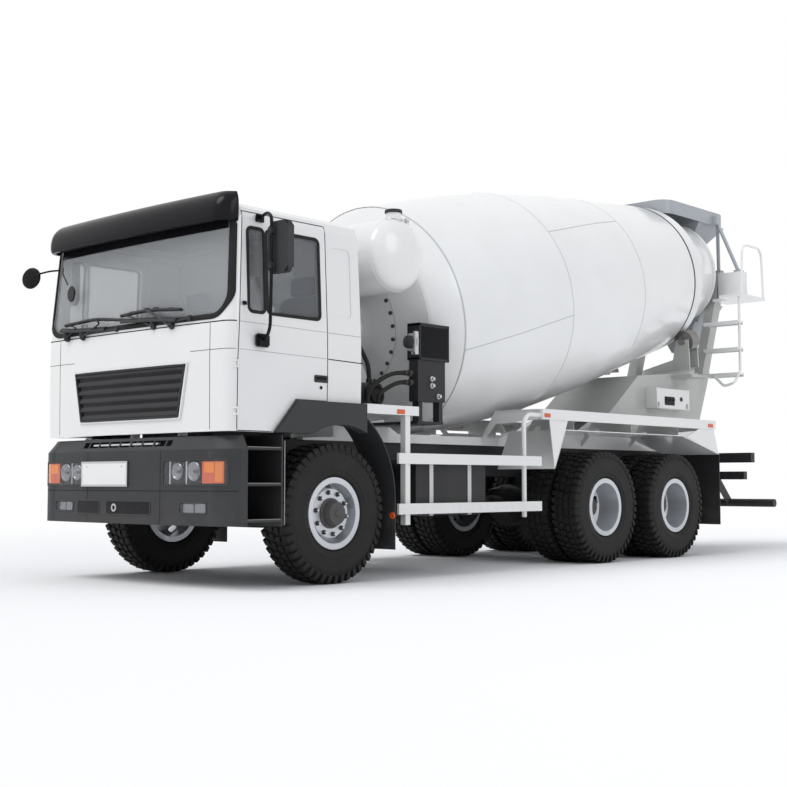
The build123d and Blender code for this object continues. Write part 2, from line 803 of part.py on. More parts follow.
def front_mudguard(side):
    x0, x1 = sorted((side * 900, side * half_width))
    outer = ThreePointArc((x0, place(300), 1325), (x0, place(510), 1110), (x0, place(640), 700))
    inner = ThreePointArc((x0, place(290), 1317), (x0, place(500), 1105), (x0, place(630), 700))
    ends = [Line(outer @ 0, inner @ 0), Line(outer @ 1, inner @ 1)]
    band = extrude(make_face([outer, inner] + ends), amount=x1 - x0, dir=(1, 0, 0))
    flap = block(x0, x1, 630, 640, 250, 700)
    stay = block(*sorted((side * rail_x, side * 920)), 560, 600, 960, 1000)
    return band + flap + stay


# Body carried by the frame

sub_rail_front_top = rail_top + sub_rail_height
sub_rail_outline = [(300, rail_top), (300, sub_rail_front_top), (1350, sub_rail_front_top), (1500, sub_rail_belly_top),
                    (3000, sub_rail_belly_top), (3300, sub_rail_front_top), (4400, sub_rail_front_top),
                    (4800, sub_rail_rear_top), (6955, sub_rail_rear_top), (6955, rail_top)]


def subframe():
    frame = None
    for side in (-1, 1):
        x0, x1 = sorted((side * (rail_x - sub_rail_width / 2), side * (rail_x + sub_rail_width / 2)))
        rail = side_plate(sub_rail_outline, x0, x1)
        frame = rail if frame is None else frame + rail
    for y in (1450, 2500, 3500, 4500, 5500, 6700):
        frame = frame + block(-rail_x + 30, rail_x - 30, y - 40, y + 40, rail_top + 5, rail_top + 65)
    return frame


def deck(side, y0, y1, top, band, brackets):
    root = rail_x + sub_rail_width / 2
    x0, x1 = sorted((side * deck_inner, side * half_width))
    board = block(x0, x1, y0, y1, top - deck_thickness, top)
    board = board + block(*sorted((side * (half_width - 30), side * half_width)), y0, y1, top - band, top)
    for y in brackets:
        outline = [(root, rail_top + 20), (root, rail_top + 75), (deck_inner, top - 2), (half_width - 10, top - 2),
                   (half_width - 10, top - band + 5), (deck_inner, top - band - 30)]
        points = [(side * x, place(y - 5), z) for x, z in outline]
        board = board + extrude(make_face(Polyline(*points, close=True)), amount=10, dir=(0, 1, 0))
    return board


def front_deck(side):
    return deck(side, 295, 935, 1442, 78, (310, 600, 915))


mud_profile = [(2917, 933), (3103, 1306), (5300, 1306), (6104, 1120)]


def rear_deck(side):
    board = deck(side, 2712, 6013, 1500, 100, (2730, 3400, 4450, 5400, 5990))
    lower = [(y, z) for y, z in mud_profile]
    upper = [(y, z + 8) for y, z in reversed(mud_profile)]
    x0, x1 = sorted((side * 520, side * (half_width - 12)))
    board = board + side_plate(lower + upper, x0, x1)
    cheek = sorted((side * (half_width - 26), side * (half_width - 18)))
    board = board + side_plate([(5400, 1300), (5700, 1410), (6000, 1410), (6100, 1122)], *cheek)
    board = board + side_plate([(2921, 938), (2840, 1410), (3150, 1410), (3103, 1310)], *cheek)
    for y in (3400, 4450, 5400):
        board = board + block(*sorted((side * 700, side * 1100)), y - 4, y + 4, 1300, 1470)
    return board


def rear_flap(side):
    x0, x1 = sorted((side * 560, side * (half_width - 12)))
    return block(x0, x1, 6104, 6114, 330, 1124)


def side_guard(side):
    outer = half_width
    guard = None
    for low, high in ((958, 1048), (537, 627)):
        rail = block(*sorted((side * (outer - 25), side * outer)), 685, 2685, low, high)
        guard = rail if guard is None else guard + rail
    front_post = block(*sorted((side * (outer - 80), side * (outer - 24))), 790, 850, 448, 1364)
    rear_post = bent_tube([(side * (outer - 46), 2470, 483), (side * (outer - 46), 2470, 1440), (side * (outer - 46), 2712, 1440)],
                          22, 110)
    return guard + front_post + rear_post


def tanks():
    flat = Pos((1000 + 1950) / 2, (520 + 1010) / 2) * RectangleRounded(950, 490, 90)
    tank = side_prism(flat, 500, 1130)
    for y in (1150, 1800):
        tank = tank + block(rail_x, 520, y - 30, y + 30, 880, 1000)
    out = []
    for y, z in ((1250, 900), (1250, 640)):
        out.append(rod((-620, y - 250, z), (-620, y + 450, z), 125))
    box = block(-1150, -560, 1950, 2500, 600, 1050)
    frame = block(-640, -rail_x, 1200, 1260, 870, 950)
    box = box + block(-565, -rail_x, 2200, 2260, 900, 960)
    link = block(-640, -600, 1200, 1260, 640, 900)
    return [tank, out[0] + out[1] + link + frame, box]


# Drum drive and tank stand

slope = math.radians(drum_angle)


def on_axis(s):
    return (0, drum_y + s * math.cos(slope), drum_z + s * math.sin(slope))


# A plane across the drum, with its own y upwards and its own z towards the cab.
def across_drum(s):
    centre = on_axis(s)
    return Plane(origin=(0, place(centre[1]), centre[2]), x_dir=(1, 0, 0), z_dir=(0, -math.cos(slope), -math.sin(slope)))


def about_drum(outline):
    foot = on_axis(0)
    frame = Plane(origin=(0, place(foot[1]), foot[2]), x_dir=(1, 0, 0), z_dir=(0, math.cos(slope), math.sin(slope)))
    face = make_face(Polyline(*[(out, along) for along, out in outline], close=True))
    turned = revolve(Plane.XZ * face, axis=Axis.Z)
    return frame.location * turned


# Drum sections from the front flange to the mouth: distance along the axis and outer radius.
drum_sections = ((-478, 270), (-430, 330), (-390, 620), (-300, 935), (0, 1105), (820, 1155), (1638, 1170),
                 (2700, 1100), (4560, 905), (4600, 840), (4604, ring_radius), (4786, ring_radius), (4790, 835), (5540, mouth_radius + 8))


def drum():
    outer = [(along, out) for along, out in drum_sections]
    inner = [(-370, 0)] + [(along + drum_wall * 0.3, out - drum_wall) for along, out in drum_sections[2:9]]
    inner = inner + [(4620, 826), (4790, 820), (5540, mouth_radius)]
    shell = about_drum([(-478, 0)] + outer + list(reversed(inner)))
    lip = about_drum([(5530, mouth_radius), (5530, mouth_radius + 30), (5560, mouth_radius + 30), (5560, mouth_radius)])
    return shell + lip


def gearbox_outline(extra=0):
    return [(-1260, 0), (-1260, 95 + extra), (-1120, 95 + extra), (-1110, 150 + extra), (-930, 250 + extra),
            (-640, 262 + extra), (-620, 280 + extra), (-560, 280 + extra), (-545, 270 + extra), (-478.3, 270 + extra),
            (-478.3, 0)]


def gearbox():
    x, y, z = motor_route[0]
    port = rod((x, y, z - 60), (x, y, z), hose_radius + 7)
    return about_drum(gearbox_outline()) + port


def front_pedestal():
    base = Pos(0, place(945), sub_rail_front_top) * Rectangle(2 * (rail_x + 40), 770)
    top = Pos(0, place(880), 2050) * Rectangle(560, 500)
    stand = loft([base, top])
    hollow = loft([Pos(0, place(945), sub_rail_front_top - 5) * Rectangle(2 * (rail_x + 25), 740),
                   Pos(0, place(880), 1850) * Rectangle(560, 470)])
    stand = stand - hollow
    stand = stand - about_drum(gearbox_outline(0.3))
    for side in (-1, 1):
        post = block(*sorted((side * 380, side * 450)), tank_y - 55, tank_y + 55, 1380, 2600)
        stand = stand + (post - rod((-900, tank_y, tank_z), (900, tank_y, tank_z), tank_radius + 0.3))
    return stand


def water_tank():
    dome = [(tank_half_length - 150 * (1 - math.sin(turn)), tank_radius * math.cos(turn))
            for turn in [math.radians(18 * step) for step in range(5)]]
    outline = [(-x, out) for x, out in reversed(dome)] + dome
    outline = [(-tank_half_length, 0)] + outline + [(tank_half_length, 0)]
    points = [(x, place(tank_y), tank_z + out) for x, out in outline]
    tank = revolve(make_face(Polyline(*points, close=True)), axis=Axis((0, place(tank_y), tank_z), (1, 0, 0)))
    cap_low = tank_z + tank_radius + filler_rise
    neck = rod((filler_x, tank_y, tank_z + 200), (filler_x, tank_y, cap_low), filler_radius)
    cap = rod((filler_x, tank_y, cap_low), (filler_x, tank_y, cap_low + 32), filler_radius + 12)
    return tank + neck + cap


def oil_cooler():
    box = block(1010, 1130, 1044, 1430, 1865, 2169)
    tank = block(1022, 1125, cooler_front, 1396, 1500, 1865)
    legs = block(1040, 1110, 1060, 1110, 1326, 1505) + block(1040, 1110, 1330, 1380, 1326, 1505)
    beam = block(rail_x + 40, 1110, 1050, 1390, sub_rail_front_top - 20, sub_rail_front_top + 4)
    fan = rod((1070, 1050, 2010), (1070, 1000, 2010), 55)
    ports = None
    for x, z in (upper_port, lower_port):
        port = rod((x, cooler_front - 30, z), (x, cooler_front + 5, z), hose_radius + 7)
        ports = port if ports is None else ports + port
    return box + tank + legs + beam + fan + ports


def oil_filter():
    centre = (filter_y, filter_z)
    body = rod((740, *centre), (900, *centre), filter_radius)
    neck = rod((820, filter_y, filter_z), (820, filter_y, filter_z + filter_radius + 30), hose_radius + 7)
    stand = block(760, 880, filter_y - 70, filter_y + 70, 1442, filter_z - 60)
    bases = None
    for x, y in ((1000, 540), (1050, 610)):
        base = rod((x, y, 1442), (x, y, 1462), hose_radius + 7)
        bases = base if bases is None else bases + base
    return [body + neck + stand, bases]


# The hoses' routes: x, offset from the front axle and height of each point.
upper_route = ((1000, 540, 1462), (1000, 540, 1560), (1030, 640, 1660), (1052, 780, 1725), (1060, 900, 1740),
               (1060, cooler_front - 30, 1740))
lower_route = ((1050, 610, 1462), (1050, 610, 1530), (1056, 700, 1590), (1062, 810, 1640), (1066, 900, 1660),
               (1066, cooler_front - 30, 1660))
motor_route = ((110, 470, 2205), (110, 470, 2330), (230, 440, 2400), (420, 450, 2390), (600, 480, 2320), (740, 530, 2200),
               (800, 600, 2030), (815, 680, 1900), (820, 745, 1800), (820, 745, filter_z + filter_radius + 30))


def hose(route):
    points = [Vector(x, place(y), z) for x, y, z in route]
    radii = []
    for before, here, after in zip(points, points[1:], points[2:]):
        turn = math.radians((here - before).get_angle(after - here))
        radii.append(0.45 * min((here - before).length, (after - here).length) / math.tan(turn / 2))
    path = FilletPolyline(*points, radius=radii)
    print("hose radii", [round(radius) for radius in radii], "length", round(path.length))
    return sweep(Plane(origin=path @ 0, z_dir=path % 0) * Circle(hose_radius), path=path)


# Tail of the body

pedestal_outline = [(4900, sub_rail_rear_top), (5600, 2030), (7250, 2170), (6955, sub_rail_rear_top)]


def rear_pedestal():
    box = side_plate(pedestal_outline, -480, 480)
    box = box - side_plate([(4935, sub_rail_rear_top - 5), (5610, 2018), (7232, 2158), (6935, sub_rail_rear_top - 5)], -468, 468)
    for side in (-1, 1):
        box = box + side_plate([(6960, 2130), (7120, 2150), (7600, 3440), (7440, 3440)], *sorted((side * 420, side * 540)))
        box = box + roller_stand(side)
    for z in (1800, 1990):
        lug = block(-60, 60, 7060, chute_y + 50, z, z + 40)
        box = box + (lug - rod((0, chute_y, z - 50), (0, chute_y, z + 90), chute_post + running_clearance))
    control = side_plate([(5757, 1658), (6495, 1658), (6495, 1850), (6400, 1892), (5850, 1892), (5757, 1850)], 475, 620)
    return box + control


def roller_place(side):
    turn = math.radians(roller_angle)
    reach = ring_radius + roller_radius + running_clearance
    return side * reach * math.sin(turn), -reach * math.cos(turn)


def drum_rollers():
    rollers = []
    for side in (-1, 1):
        x, up = roller_place(side)
        spot = across_drum(ring_at).location * Pos(x, up, 0)
        rollers.append(spot * Cylinder(roller_radius, roller_width) + spot * Cylinder(36, roller_width + 130))
    return rollers


def roller_stand(side):
    x, up = roller_place(side)
    frame = across_drum(ring_at).location
    cheeks = None
    for along in (-roller_width / 2 - 40, roller_width / 2 + 18):
        outline = [(side * 440, up - 330), (x + side * 60, up - 330), (x + side * 85, up + 25), (x - side * 85, up + 25)]
        cheek = frame * Pos(0, 0, along) * extrude(make_face(Polyline(*outline, close=True)), amount=22)
        cheeks = cheek if cheeks is None else cheeks + cheek
    bore = frame * Pos(x, up, 0) * Cylinder(36.3, 400)
    foot = block(*sorted((side * 470, side * 760)), 6320, 6680, 2045, 2075)
    return (cheeks - bore) + foot


def hopper():
    middle = (hopper_front + hopper_rear) / 2
    length = hopper_rear - hopper_front
    spot = Pos(0, place(middle), hopper_low)
    band = extrude(spot * RectangleRounded(960, length, 190), amount=165)
    band = band - extrude(Pos(0, 0, -5) * spot * RectangleRounded(944, length - 16, 182), amount=180)
    apron = extrude(Pos(0, 0, 110) * spot * RectangleRounded(950, length - 10, 185), amount=8)
    apron = apron & block(-500, 500, hopper_front - 50, 7080, hopper_low, hopper_low + 200)
    cone = loft([Pos(0, place(7410), hopper_low + 4) * Rectangle(900, 640), Pos(0, place(7330), 3720) * Rectangle(420, 240)])
    hole = loft([Pos(0, place(7410), hopper_low + 4) * Rectangle(884, 624), Pos(0, place(7330), 3720) * Rectangle(404, 224)])
    side_lap = block(-470, 470, 7080, 7090, hopper_low, hopper_low + 118)
    bin = band + apron + (cone - hole) + side_lap
    room = about_drum([(4500, 0), (4500, ring_radius + 25), (4800, ring_radius + 25), (4830, 870), (5590, 665), (5590, 0)])
    bin = bin - room
    for side in (-1, 1):
        feet = ((480, 7520, 3440), (800, 7430, 3405)) if side > 0 else ((480, 7520, 3440),)
        for x, y, z in feet:
            strut = rod((side * x, y, z + 12), (side * 520, 7430, 4060), 22)
            pad = block(*sorted((side * (x - 45), side * (x + 45))), y - 45, y + 45, z, z + 30)
            bin = bin + strut + pad
        bin = bin + block(*sorted((side * 470, side * 540)), 7380, 7480, 4035, 4150)
    return bin


def discharge_funnel():
    top = Pos(0, place(7480), 3050) * Rectangle(800, 560)
    low = Pos(0, place(chute_y), funnel_low) * Rectangle(200, 200)
    outer = loft([top, low])
    inner = loft([Pos(0, place(7480), 3051) * Rectangle(784, 544), Pos(0, place(chute_y), funnel_low - 1) * Rectangle(186, 186)])
    funnel = outer - inner
    funnel = funnel - about_drum([(4800, 0), (4800, 720), (5600, 690), (5600, 0)])
    for side in (-1, 1):
        funnel = funnel + block(*sorted((side * 379, side * 420)), 7340, 7420, 3005, 3045)
    return funnel


# Folding chute, pointing to the truck's right when stowed.
def chute_arm():
    post = rod((0, chute_y, 1780), (0, chute_y, 2050), chute_post)
    collar = rod((0, chute_y, 1840.3), (0, chute_y, 1989.7), chute_post + 14)
    fork = None
    for side in (-1, 1):
        cheek = block(-30, 30, chute_y + side * 75 - 8, chute_y + side * 75 + 8, 2050, 2120)
        fork = cheek if fork is None else fork + cheek
    base = block(-50, 50, chute_y - 90, chute_y + 90, 2040, 2060)
    pin = rod((0, chute_y - 85, chute_hinge_z), (0, chute_y + 85, chute_hinge_z), 12)
    return post + collar + base + fork + pin


def chute():
    outer = Circle(165) & Pos(0, -82.5) * Rectangle(340, 165)
    outer = outer + Pos(0, 22) * Rectangle(330, 46)
    inner = Circle(159) & Pos(0, -79.5) * Rectangle(330, 159)
    inner = inner + Pos(0, 40) * Rectangle(318, 90)
    profile = outer - inner
    fall = math.radians(14)
    plane = Plane(origin=(200 * math.cos(fall), place(chute_y), 2320 + 200 * math.sin(fall)), x_dir=(0, -1, 0),
                  z_dir=(-math.cos(fall), 0, -math.sin(fall)))
    trough = extrude(plane * profile, amount=1400)
    cap = extrude(plane * outer, amount=6)
    lug = block(-25, 25, chute_y - 60, chute_y + 60, chute_hinge_z - 20, 2200)
    lug = lug - rod((0, chute_y - 80, chute_hinge_z), (0, chute_y + 80, chute_hinge_z), 12 + running_clearance)
    lug = lug - extrude(plane * Circle(162), amount=1400)
    return trough + cap + lug


def rear_ladder():
    tube = bent_tube([(1000, 7046, 3040), (1000, 7046, 2140), (1000, 6900, 1990), (860, 6900, 1960), (700, 6960, 2090)], 16, 60)
    steps = tube
    for z, reach in ((2740, 7190), (2415, 7110), (2110, 7110)):
        steps = steps + block(540, 1010, 6985, 7110, z - 12, z + 12) + block(540, 556, 7100, reach, z - 12, z + 12)
    platform = block(540, 1060, 7240, 7600, 3040, 3075) + block(760, 1060, 7000, 7250, 3040, 3075)
    cabinet = block(560, 872, 7350, 7504, 3075, 3405)
    rail = bent_tube([(1045, 7020, 3070), (1045, 7060, 3680), (1045, 7540, 3680), (1045, 7585, 3070)], 14, 120)
    return steps + platform + cabinet + rail


def tail_beam():
    beam = block(-1100, 1100, 7085, 7175, 1043, 1160)
    frame = beam + block(-1000, 1000, 7090, 7170, 840, 936)
    for side in (-1, 1):
        plate = side_plate([(rail_rear, 860), (rail_rear, 1150), (7180, 1150), (7180, 900), (7500, 600), (7500, 520), (7420, 520), (7100, 820)],
                           *sorted((side * 600, side * 612)))
        frame = frame + plate
        frame = frame + block(*sorted((side * 352, side * 428)), rail_rear, 7100, 880, 1150)
    tube = rod((-1200, 7474, 556), (1200, 7474, 556), 48)
    jaw = block(-70, 70, 7165, 7290, 860, 950) - rod((0, tow_y, 800), (0, tow_y, 1000), tow_bore)
    return frame + tube + jaw


def write_all():
    os.makedirs("parts", exist_ok=True)
    write_piece("chassis_frame", chassis_frame())
    write_piece("engine_block", engine_block())
    write_piece("front_axle", front_axle())
    write_piece("rear_axles", rear_axle(wheelbase), rear_axle(wheelbase + tandem_pitch), propshafts())
    write_piece("leaf_springs", leaf_springs())
    for side, name in ((1, "left"), (-1, "right")):
        write_piece(f"knuckle_{name}", knuckle(side))
        rubber, wheel = front_wheel(side)
        write_piece(f"tyre_front_{name}", rubber)
        write_piece(f"rim_front_{name}", wheel)
        for row, y in (("middle", wheelbase), ("rear", wheelbase + tandem_pitch)):
            rubber, wheel = rear_wheel(side, y)
            write_piece(f"tyres_{row}_{name}", rubber)
            write_piece(f"rims_{row}_{name}", wheel)
        write_piece(f"door_{name}", door(side))
        write_piece(f"door_glass_{name}", door_glass(side))
        write_piece(f"mirror_{name}", mirrors(side))
    write_piece("tie_rod", tie_rod())
    write_piece("cab_shell", cab_shell())
    write_piece("cab_glass", cab_glass())
    write_piece("cab_fenders", cab_fender(1), cab_fender(-1))
    write_piece("sun_visor", sun_visor())
    write_piece("grille", grille())
    write_piece("wipers", wipers())
    write_piece("seats", seats())
    write_piece("dashboard", dashboard())
    write_piece("bumper", bumper())
    write_piece("lamps", lamps())
    write_piece("lower_fenders", [step_well(side) for side in (1, -1)], [front_mudguard(side) for side in (1, -1)])
    write_piece("tanks", tanks())
    write_piece("side_guards", side_guard(1), side_guard(-1))
    write_piece("subframe", subframe())
    write_piece("front_decks", front_deck(1), front_deck(-1))
    write_piece("rear_decks", rear_deck(1), rear_deck(-1))
    write_piece("front_pedestal", front_pedestal())
    write_piece("gearbox", gearbox())
    write_piece("water_tank", water_tank())
    write_piece("oil_cooler", oil_cooler())
    write_piece("oil_filter", oil_filter())
    write_piece("upper_hose", hose(upper_route))
    write_piece("lower_hose", hose(lower_route))
    write_piece("motor_hose", hose(motor_route))
    write_piece("drum", drum())
    write_piece("rear_pedestal", rear_pedestal())
    write_piece("drum_rollers", drum_rollers())
    write_piece("hopper", hopper())
    write_piece("discharge_funnel", discharge_funnel())
    write_piece("chute_arm", chute_arm())
    write_piece("chute", chute())
    write_piece("rear_ladder", rear_ladder())
    write_piece("tail_beam", tail_beam(), rear_flap(1), rear_flap(-1))


write_all()
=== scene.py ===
import bpy, bmesh, json, math
from mathutils import Matrix, Vector


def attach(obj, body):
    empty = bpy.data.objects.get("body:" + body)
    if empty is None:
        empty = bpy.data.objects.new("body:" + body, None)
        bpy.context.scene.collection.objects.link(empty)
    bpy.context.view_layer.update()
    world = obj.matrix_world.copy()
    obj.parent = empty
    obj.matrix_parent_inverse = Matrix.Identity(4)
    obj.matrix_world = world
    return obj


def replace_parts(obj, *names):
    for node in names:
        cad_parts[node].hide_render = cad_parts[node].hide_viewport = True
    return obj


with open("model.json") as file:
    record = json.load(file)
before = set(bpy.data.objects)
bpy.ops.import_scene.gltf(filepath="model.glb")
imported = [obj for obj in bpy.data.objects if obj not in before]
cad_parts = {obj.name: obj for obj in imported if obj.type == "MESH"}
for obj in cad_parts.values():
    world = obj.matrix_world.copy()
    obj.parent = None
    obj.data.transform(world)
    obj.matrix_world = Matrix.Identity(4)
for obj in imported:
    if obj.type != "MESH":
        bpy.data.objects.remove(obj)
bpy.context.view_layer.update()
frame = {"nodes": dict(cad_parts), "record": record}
scene = bpy.context.scene
nodes = frame["nodes"]
print("frame loaded")

# Places along the truck are counted from the front axle; +X is the truck's left side
axleY = -3.265
hubHeight = 0.558
sides = ((1, "left"), (-1, "right"))


def at(x, y, z):
    return Vector((x, axleY + y, z))


# A new object in the scene, turned to look along a direction when one is given
def placed(name, data, spot=(0, 0, 0), look=None):
    held = bpy.data.objects.new(name, data)
    scene.collection.objects.link(held)
    held.location = spot
    if look:
        held.rotation_mode = "QUATERNION"
        held.rotation_quaternion = Vector(look).to_track_quat("-Z", "Y")
    return held


# One number or colour in a shader, so that maths on it reads as plain sums
class Wire:
    def __init__(self, shade, socket):
        self.shade, self.socket = shade, socket

    def join(self, operation, other, swapped=False):
        pair = (other, self) if swapped else (self, other)
        return self.shade.add("ShaderNodeMath", {"operation": operation}, dict(enumerate(pair)))

    def __add__(self, other):
        return self.join("ADD", other)

    def __radd__(self, other):
        return self.join("ADD", other, True)

    def __sub__(self, other):
        return self.join("SUBTRACT", other)

    def __rsub__(self, other):
        return self.join("SUBTRACT", other, True)

    def __mul__(self, other):
        return self.join("MULTIPLY", other)

    def __rmul__(self, other):
        return self.join("MULTIPLY", other, True)


class Shade:
    def __init__(self, name, fixed):
        self.material = bpy.data.materials.new(name)
        self.material.use_nodes = True
        self.tree = self.material.node_tree
        self.surface = self.tree.nodes["Principled BSDF"]
        for key, value in fixed.items():
            self.put(self.surface.inputs[key], value)
        self.spot = self.add("ShaderNodeTexCoord", out="Object")
        self.height = self.add("ShaderNodeSeparateXYZ", values={"Vector": self.spot}, out="Z")

    def put(self, socket, value):
        if isinstance(value, Wire):
            self.tree.links.new(value.socket, socket)
        elif isinstance(value, tuple) and len(value) == 3 and socket.type == "RGBA":
            socket.default_value = (*value, 1)
        else:
            socket.default_value = value

    def add(self, kind, settings=None, values=None, out=0):
        node = self.tree.nodes.new(kind)
        for key, value in (settings or {}).items():
            setattr(node, key, value)
        for key, value in (values or {}).items():
            self.put(node.inputs[key], value)
        return Wire(self, node.outputs[out])

    def noise(self, scale, detail=3, roughness=0.55):
        values = {"Vector": self.spot, "Scale": scale, "Detail": detail, "Roughness": roughness}
        return self.add("ShaderNodeTexNoise", None, values)

    def span(self, value, low, high, start=0.0, end=1.0):
        values = {"Value": value, "From Min": low, "From Max": high, "To Min": start, "To Max": end}
        return self.add("ShaderNodeMapRange", None, values)

    def mix(self, factor, first, second):
        return self.add("ShaderNodeMix", {"data_type": "RGBA"}, {0: factor, 6: first, 7: second}, out=2)

    def bump(self, height, strength, distance):
        values = {"Height": height, "Strength": strength, "Distance": distance}
        return self.add("ShaderNodeBump", None, values)

    def finish(self, **varying):
        for key, value in varying.items():
            self.put(self.surface.inputs[key.replace("_", " ")], value)
        return self.material


# Dust lies thickest near the road and is gone at the height called low
dustTone = (0.36, 0.34, 0.31)


def painted(name, colour, other, dusty, rough, metal=0.0, coat=0.0, grain=260.0, relief=0.05, low=0.9,
            shine=0.5, dust=dustTone):
    shade = Shade(name, {
        "Metallic": metal, "Coat Weight": coat, "Coat Roughness": 0.06, "Specular IOR Level": shine})
    broad = shade.noise(1.3, 4)
    fine = shade.noise(grain, 2, 0.6)
    soil = shade.span(shade.height, 0.25, low, 1.0, 0.0) * shade.span(shade.noise(5.0, 6, 0.65), 0.35, 0.75)
    colours = shade.mix(shade.span(broad, 0.3, 0.7), colour, other)
    return shade.finish(
        Base_Color=shade.mix(soil * dusty, colours, dust),
        Roughness=rough + soil * 0.35 + (fine - 0.5) * 0.08,
        Normal=shade.bump(fine, relief, 0.002),
    )


# Each finish: two tones, how dusty and how rough it is
white = painted(
    "white_paint", (0.80, 0.80, 0.785), (0.765, 0.77, 0.765), 0.35, 0.22, coat=0.55, grain=420,
    relief=0.02)
drumWhite = painted(
    "drum_paint", (0.82, 0.825, 0.82), (0.77, 0.775, 0.765), 0.2, 0.24, coat=0.45, grain=300, relief=0.03)
# The rear pedestal's grey-beige: painted shade of an underside
pedestalShadeGreige = painted(
    "pedestal_shade_greige", (0.50, 0.505, 0.49), (0.43, 0.435, 0.42), 0.3, 0.3, coat=0.3, grain=300, relief=0.03)
# Hopper and funnel take a bluish grey: painted shade, as on paint lit only by the sky
hopperShadeGrey = painted(
    "hopper_shade_grey", (0.40, 0.42, 0.45), (0.34, 0.36, 0.385), 0.3, 0.35, coat=0.2, grain=300, relief=0.04)
# A grey for the drum's weld rings and beads: painted shade along the raised beads
weldBeadShade = painted("weld_bead_shade", (0.60, 0.61, 0.62), (0.54, 0.55, 0.56), 0.2, 0.4, grain=300)
# Grey for the cab's pressed lines: painted shade along the creases
pressedLineShade = painted("pressed_line_shade", (0.42, 0.43, 0.45), (0.38, 0.39, 0.41), 0.1, 0.5, grain=400)
grimyPaint = painted(
    "grimy_paint", (0.66, 0.65, 0.60), (0.54, 0.525, 0.48), 0.95, 0.45, grain=160, relief=0.12, low=5.0,
    dust=(0.055, 0.05, 0.042))
black = painted(
    "black_frame", (0.018, 0.018, 0.02), (0.03, 0.03, 0.031), 0.16, 0.42, grain=300, relief=0.08,
    shine=0.25)
charcoal = painted(
    "dark_plastic", (0.027, 0.028, 0.03), (0.034, 0.035, 0.037), 0.14, 0.5, grain=900, relief=0.25,
    shine=0.3)
glossBlack = painted(
    "gloss_black", (0.006, 0.006, 0.008), (0.009, 0.009, 0.011), 0.05, 0.2, coat=0.04, grain=400,
    relief=0.02, shine=0.12)
trim = painted("inner_trim", (0.30, 0.30, 0.30), (0.25, 0.25, 0.25), 0.0, 0.65, grain=800, relief=0.3)
silver = painted(
    "wheel_silver", (0.62, 0.64, 0.67), (0.54, 0.56, 0.59), 0.3, 0.28, metal=0.5, grain=500, relief=0.06,
    low=0.5, dust=(0.12, 0.11, 0.10))
iron = painted(
    "cast_metal", (0.05, 0.05, 0.052), (0.085, 0.08, 0.075), 0.35, 0.6, metal=0.3, grain=180, relief=0.3)
steel = painted(
    "ring_steel", (0.33, 0.32, 0.31), (0.22, 0.21, 0.2), 0.2, 0.33, metal=0.85, grain=300, relief=0.1)
alloy = painted(
    "step_alloy", (0.55, 0.56, 0.57), (0.47, 0.48, 0.49), 0.3, 0.38, metal=0.7, grain=240, relief=0.12)
chrome = painted(
    "bright_metal", (0.78, 0.79, 0.8), (0.7, 0.71, 0.72), 0.1, 0.12, metal=1.0, grain=300, relief=0.02)
# Chrome darkened for the lamps' bowls: painted shade inside the lamp housings
shadedBowlChrome = painted(
    "lamp_bowl_shaded_chrome", (0.30, 0.31, 0.33), (0.22, 0.23, 0.25), 0.0, 0.14, metal=1.0, grain=120, relief=0.1)
reflector = painted(
    "orange_lens", (0.72, 0.10, 0.008), (0.62, 0.08, 0.006), 0.05, 0.25, coat=0.3, grain=700, relief=0.4)
redLens = painted(
    "red_lens", (0.45, 0.012, 0.01), (0.35, 0.01, 0.01), 0.1, 0.2, coat=0.8, grain=700, relief=0.4)
amber = painted(
    "amber_lens", (0.88, 0.25, 0.012), (0.8, 0.2, 0.01), 0.05, 0.25, coat=0.3, grain=700, relief=0.4)


def rubber(name, tone, mottle, marks):
    shade = Shade(name, {"Specular IOR Level": 0.25})
    broad = shade.noise(6, 5, 0.65)
    fine = shade.noise(520, 2)
    mark = shade.span(shade.noise(22, 4, 0.7), 0.45, 0.72)
    darkest, lightest = (tone * 0.8,) * 3, (tone * 1.5, tone * 1.48, tone * 1.42)
    tones = shade.mix(shade.span(broad, 0.3, 0.72), darkest, lightest)
    return shade.finish(
        Base_Color=shade.mix(mark * marks, tones, (0.07, 0.065, 0.058)),
        Roughness=0.62 + mark * 0.2,
        Normal=shade.bump(fine + broad * mottle, 0.22, 0.002),
    )


tyreRubber = rubber("tyre_rubber", 0.011, 0.6, 0.16)
hoseRubber = rubber("hose_rubber", 0.012, 0.1, 0.05)
# Seal rubber, also the colour of the dark strips that paint the shade in panel gaps
sealRubberAndGapShade = rubber("seal_rubber_and_gap_shade", 0.01, 0.1, 0.05)


def glassy(name, colour, cover):
    shade = Shade(name, {"Base Color": (*colour, 1), "Roughness": 0.02, "IOR": 1.45})
    smear = shade.noise(2.5, 3)
    return shade.finish(Alpha=cover + (smear - 0.5) * 0.06)


# Glass colours are a grey tint with a painted reflection, lighter on the windscreen than on the other panes
paneTintAndReflection = glassy("glass_grey", (0.20, 0.21, 0.225), 0.4)
screenTintAndReflection = glassy("screen_tint_and_reflection", (0.50, 0.525, 0.54), 0.34)
lampGlass = glassy("lamp_glass", (0.5, 0.51, 0.53), 0.08)

cloth = Shade("seat_fabric", {"Sheen Weight": 0.3})
weave = cloth.add("ShaderNodeTexVoronoi", None, {"Vector": cloth.spot, "Scale": 420.0})
seatFabric = cloth.finish(
    Base_Color=cloth.mix(cloth.span(weave, 0.0, 0.6), (0.07, 0.072, 0.08), (0.03, 0.03, 0.035)),
    Roughness=0.82 + weave * 0.1,
    Normal=cloth.bump(weave, 0.4, 0.001),
)
print("materials made")

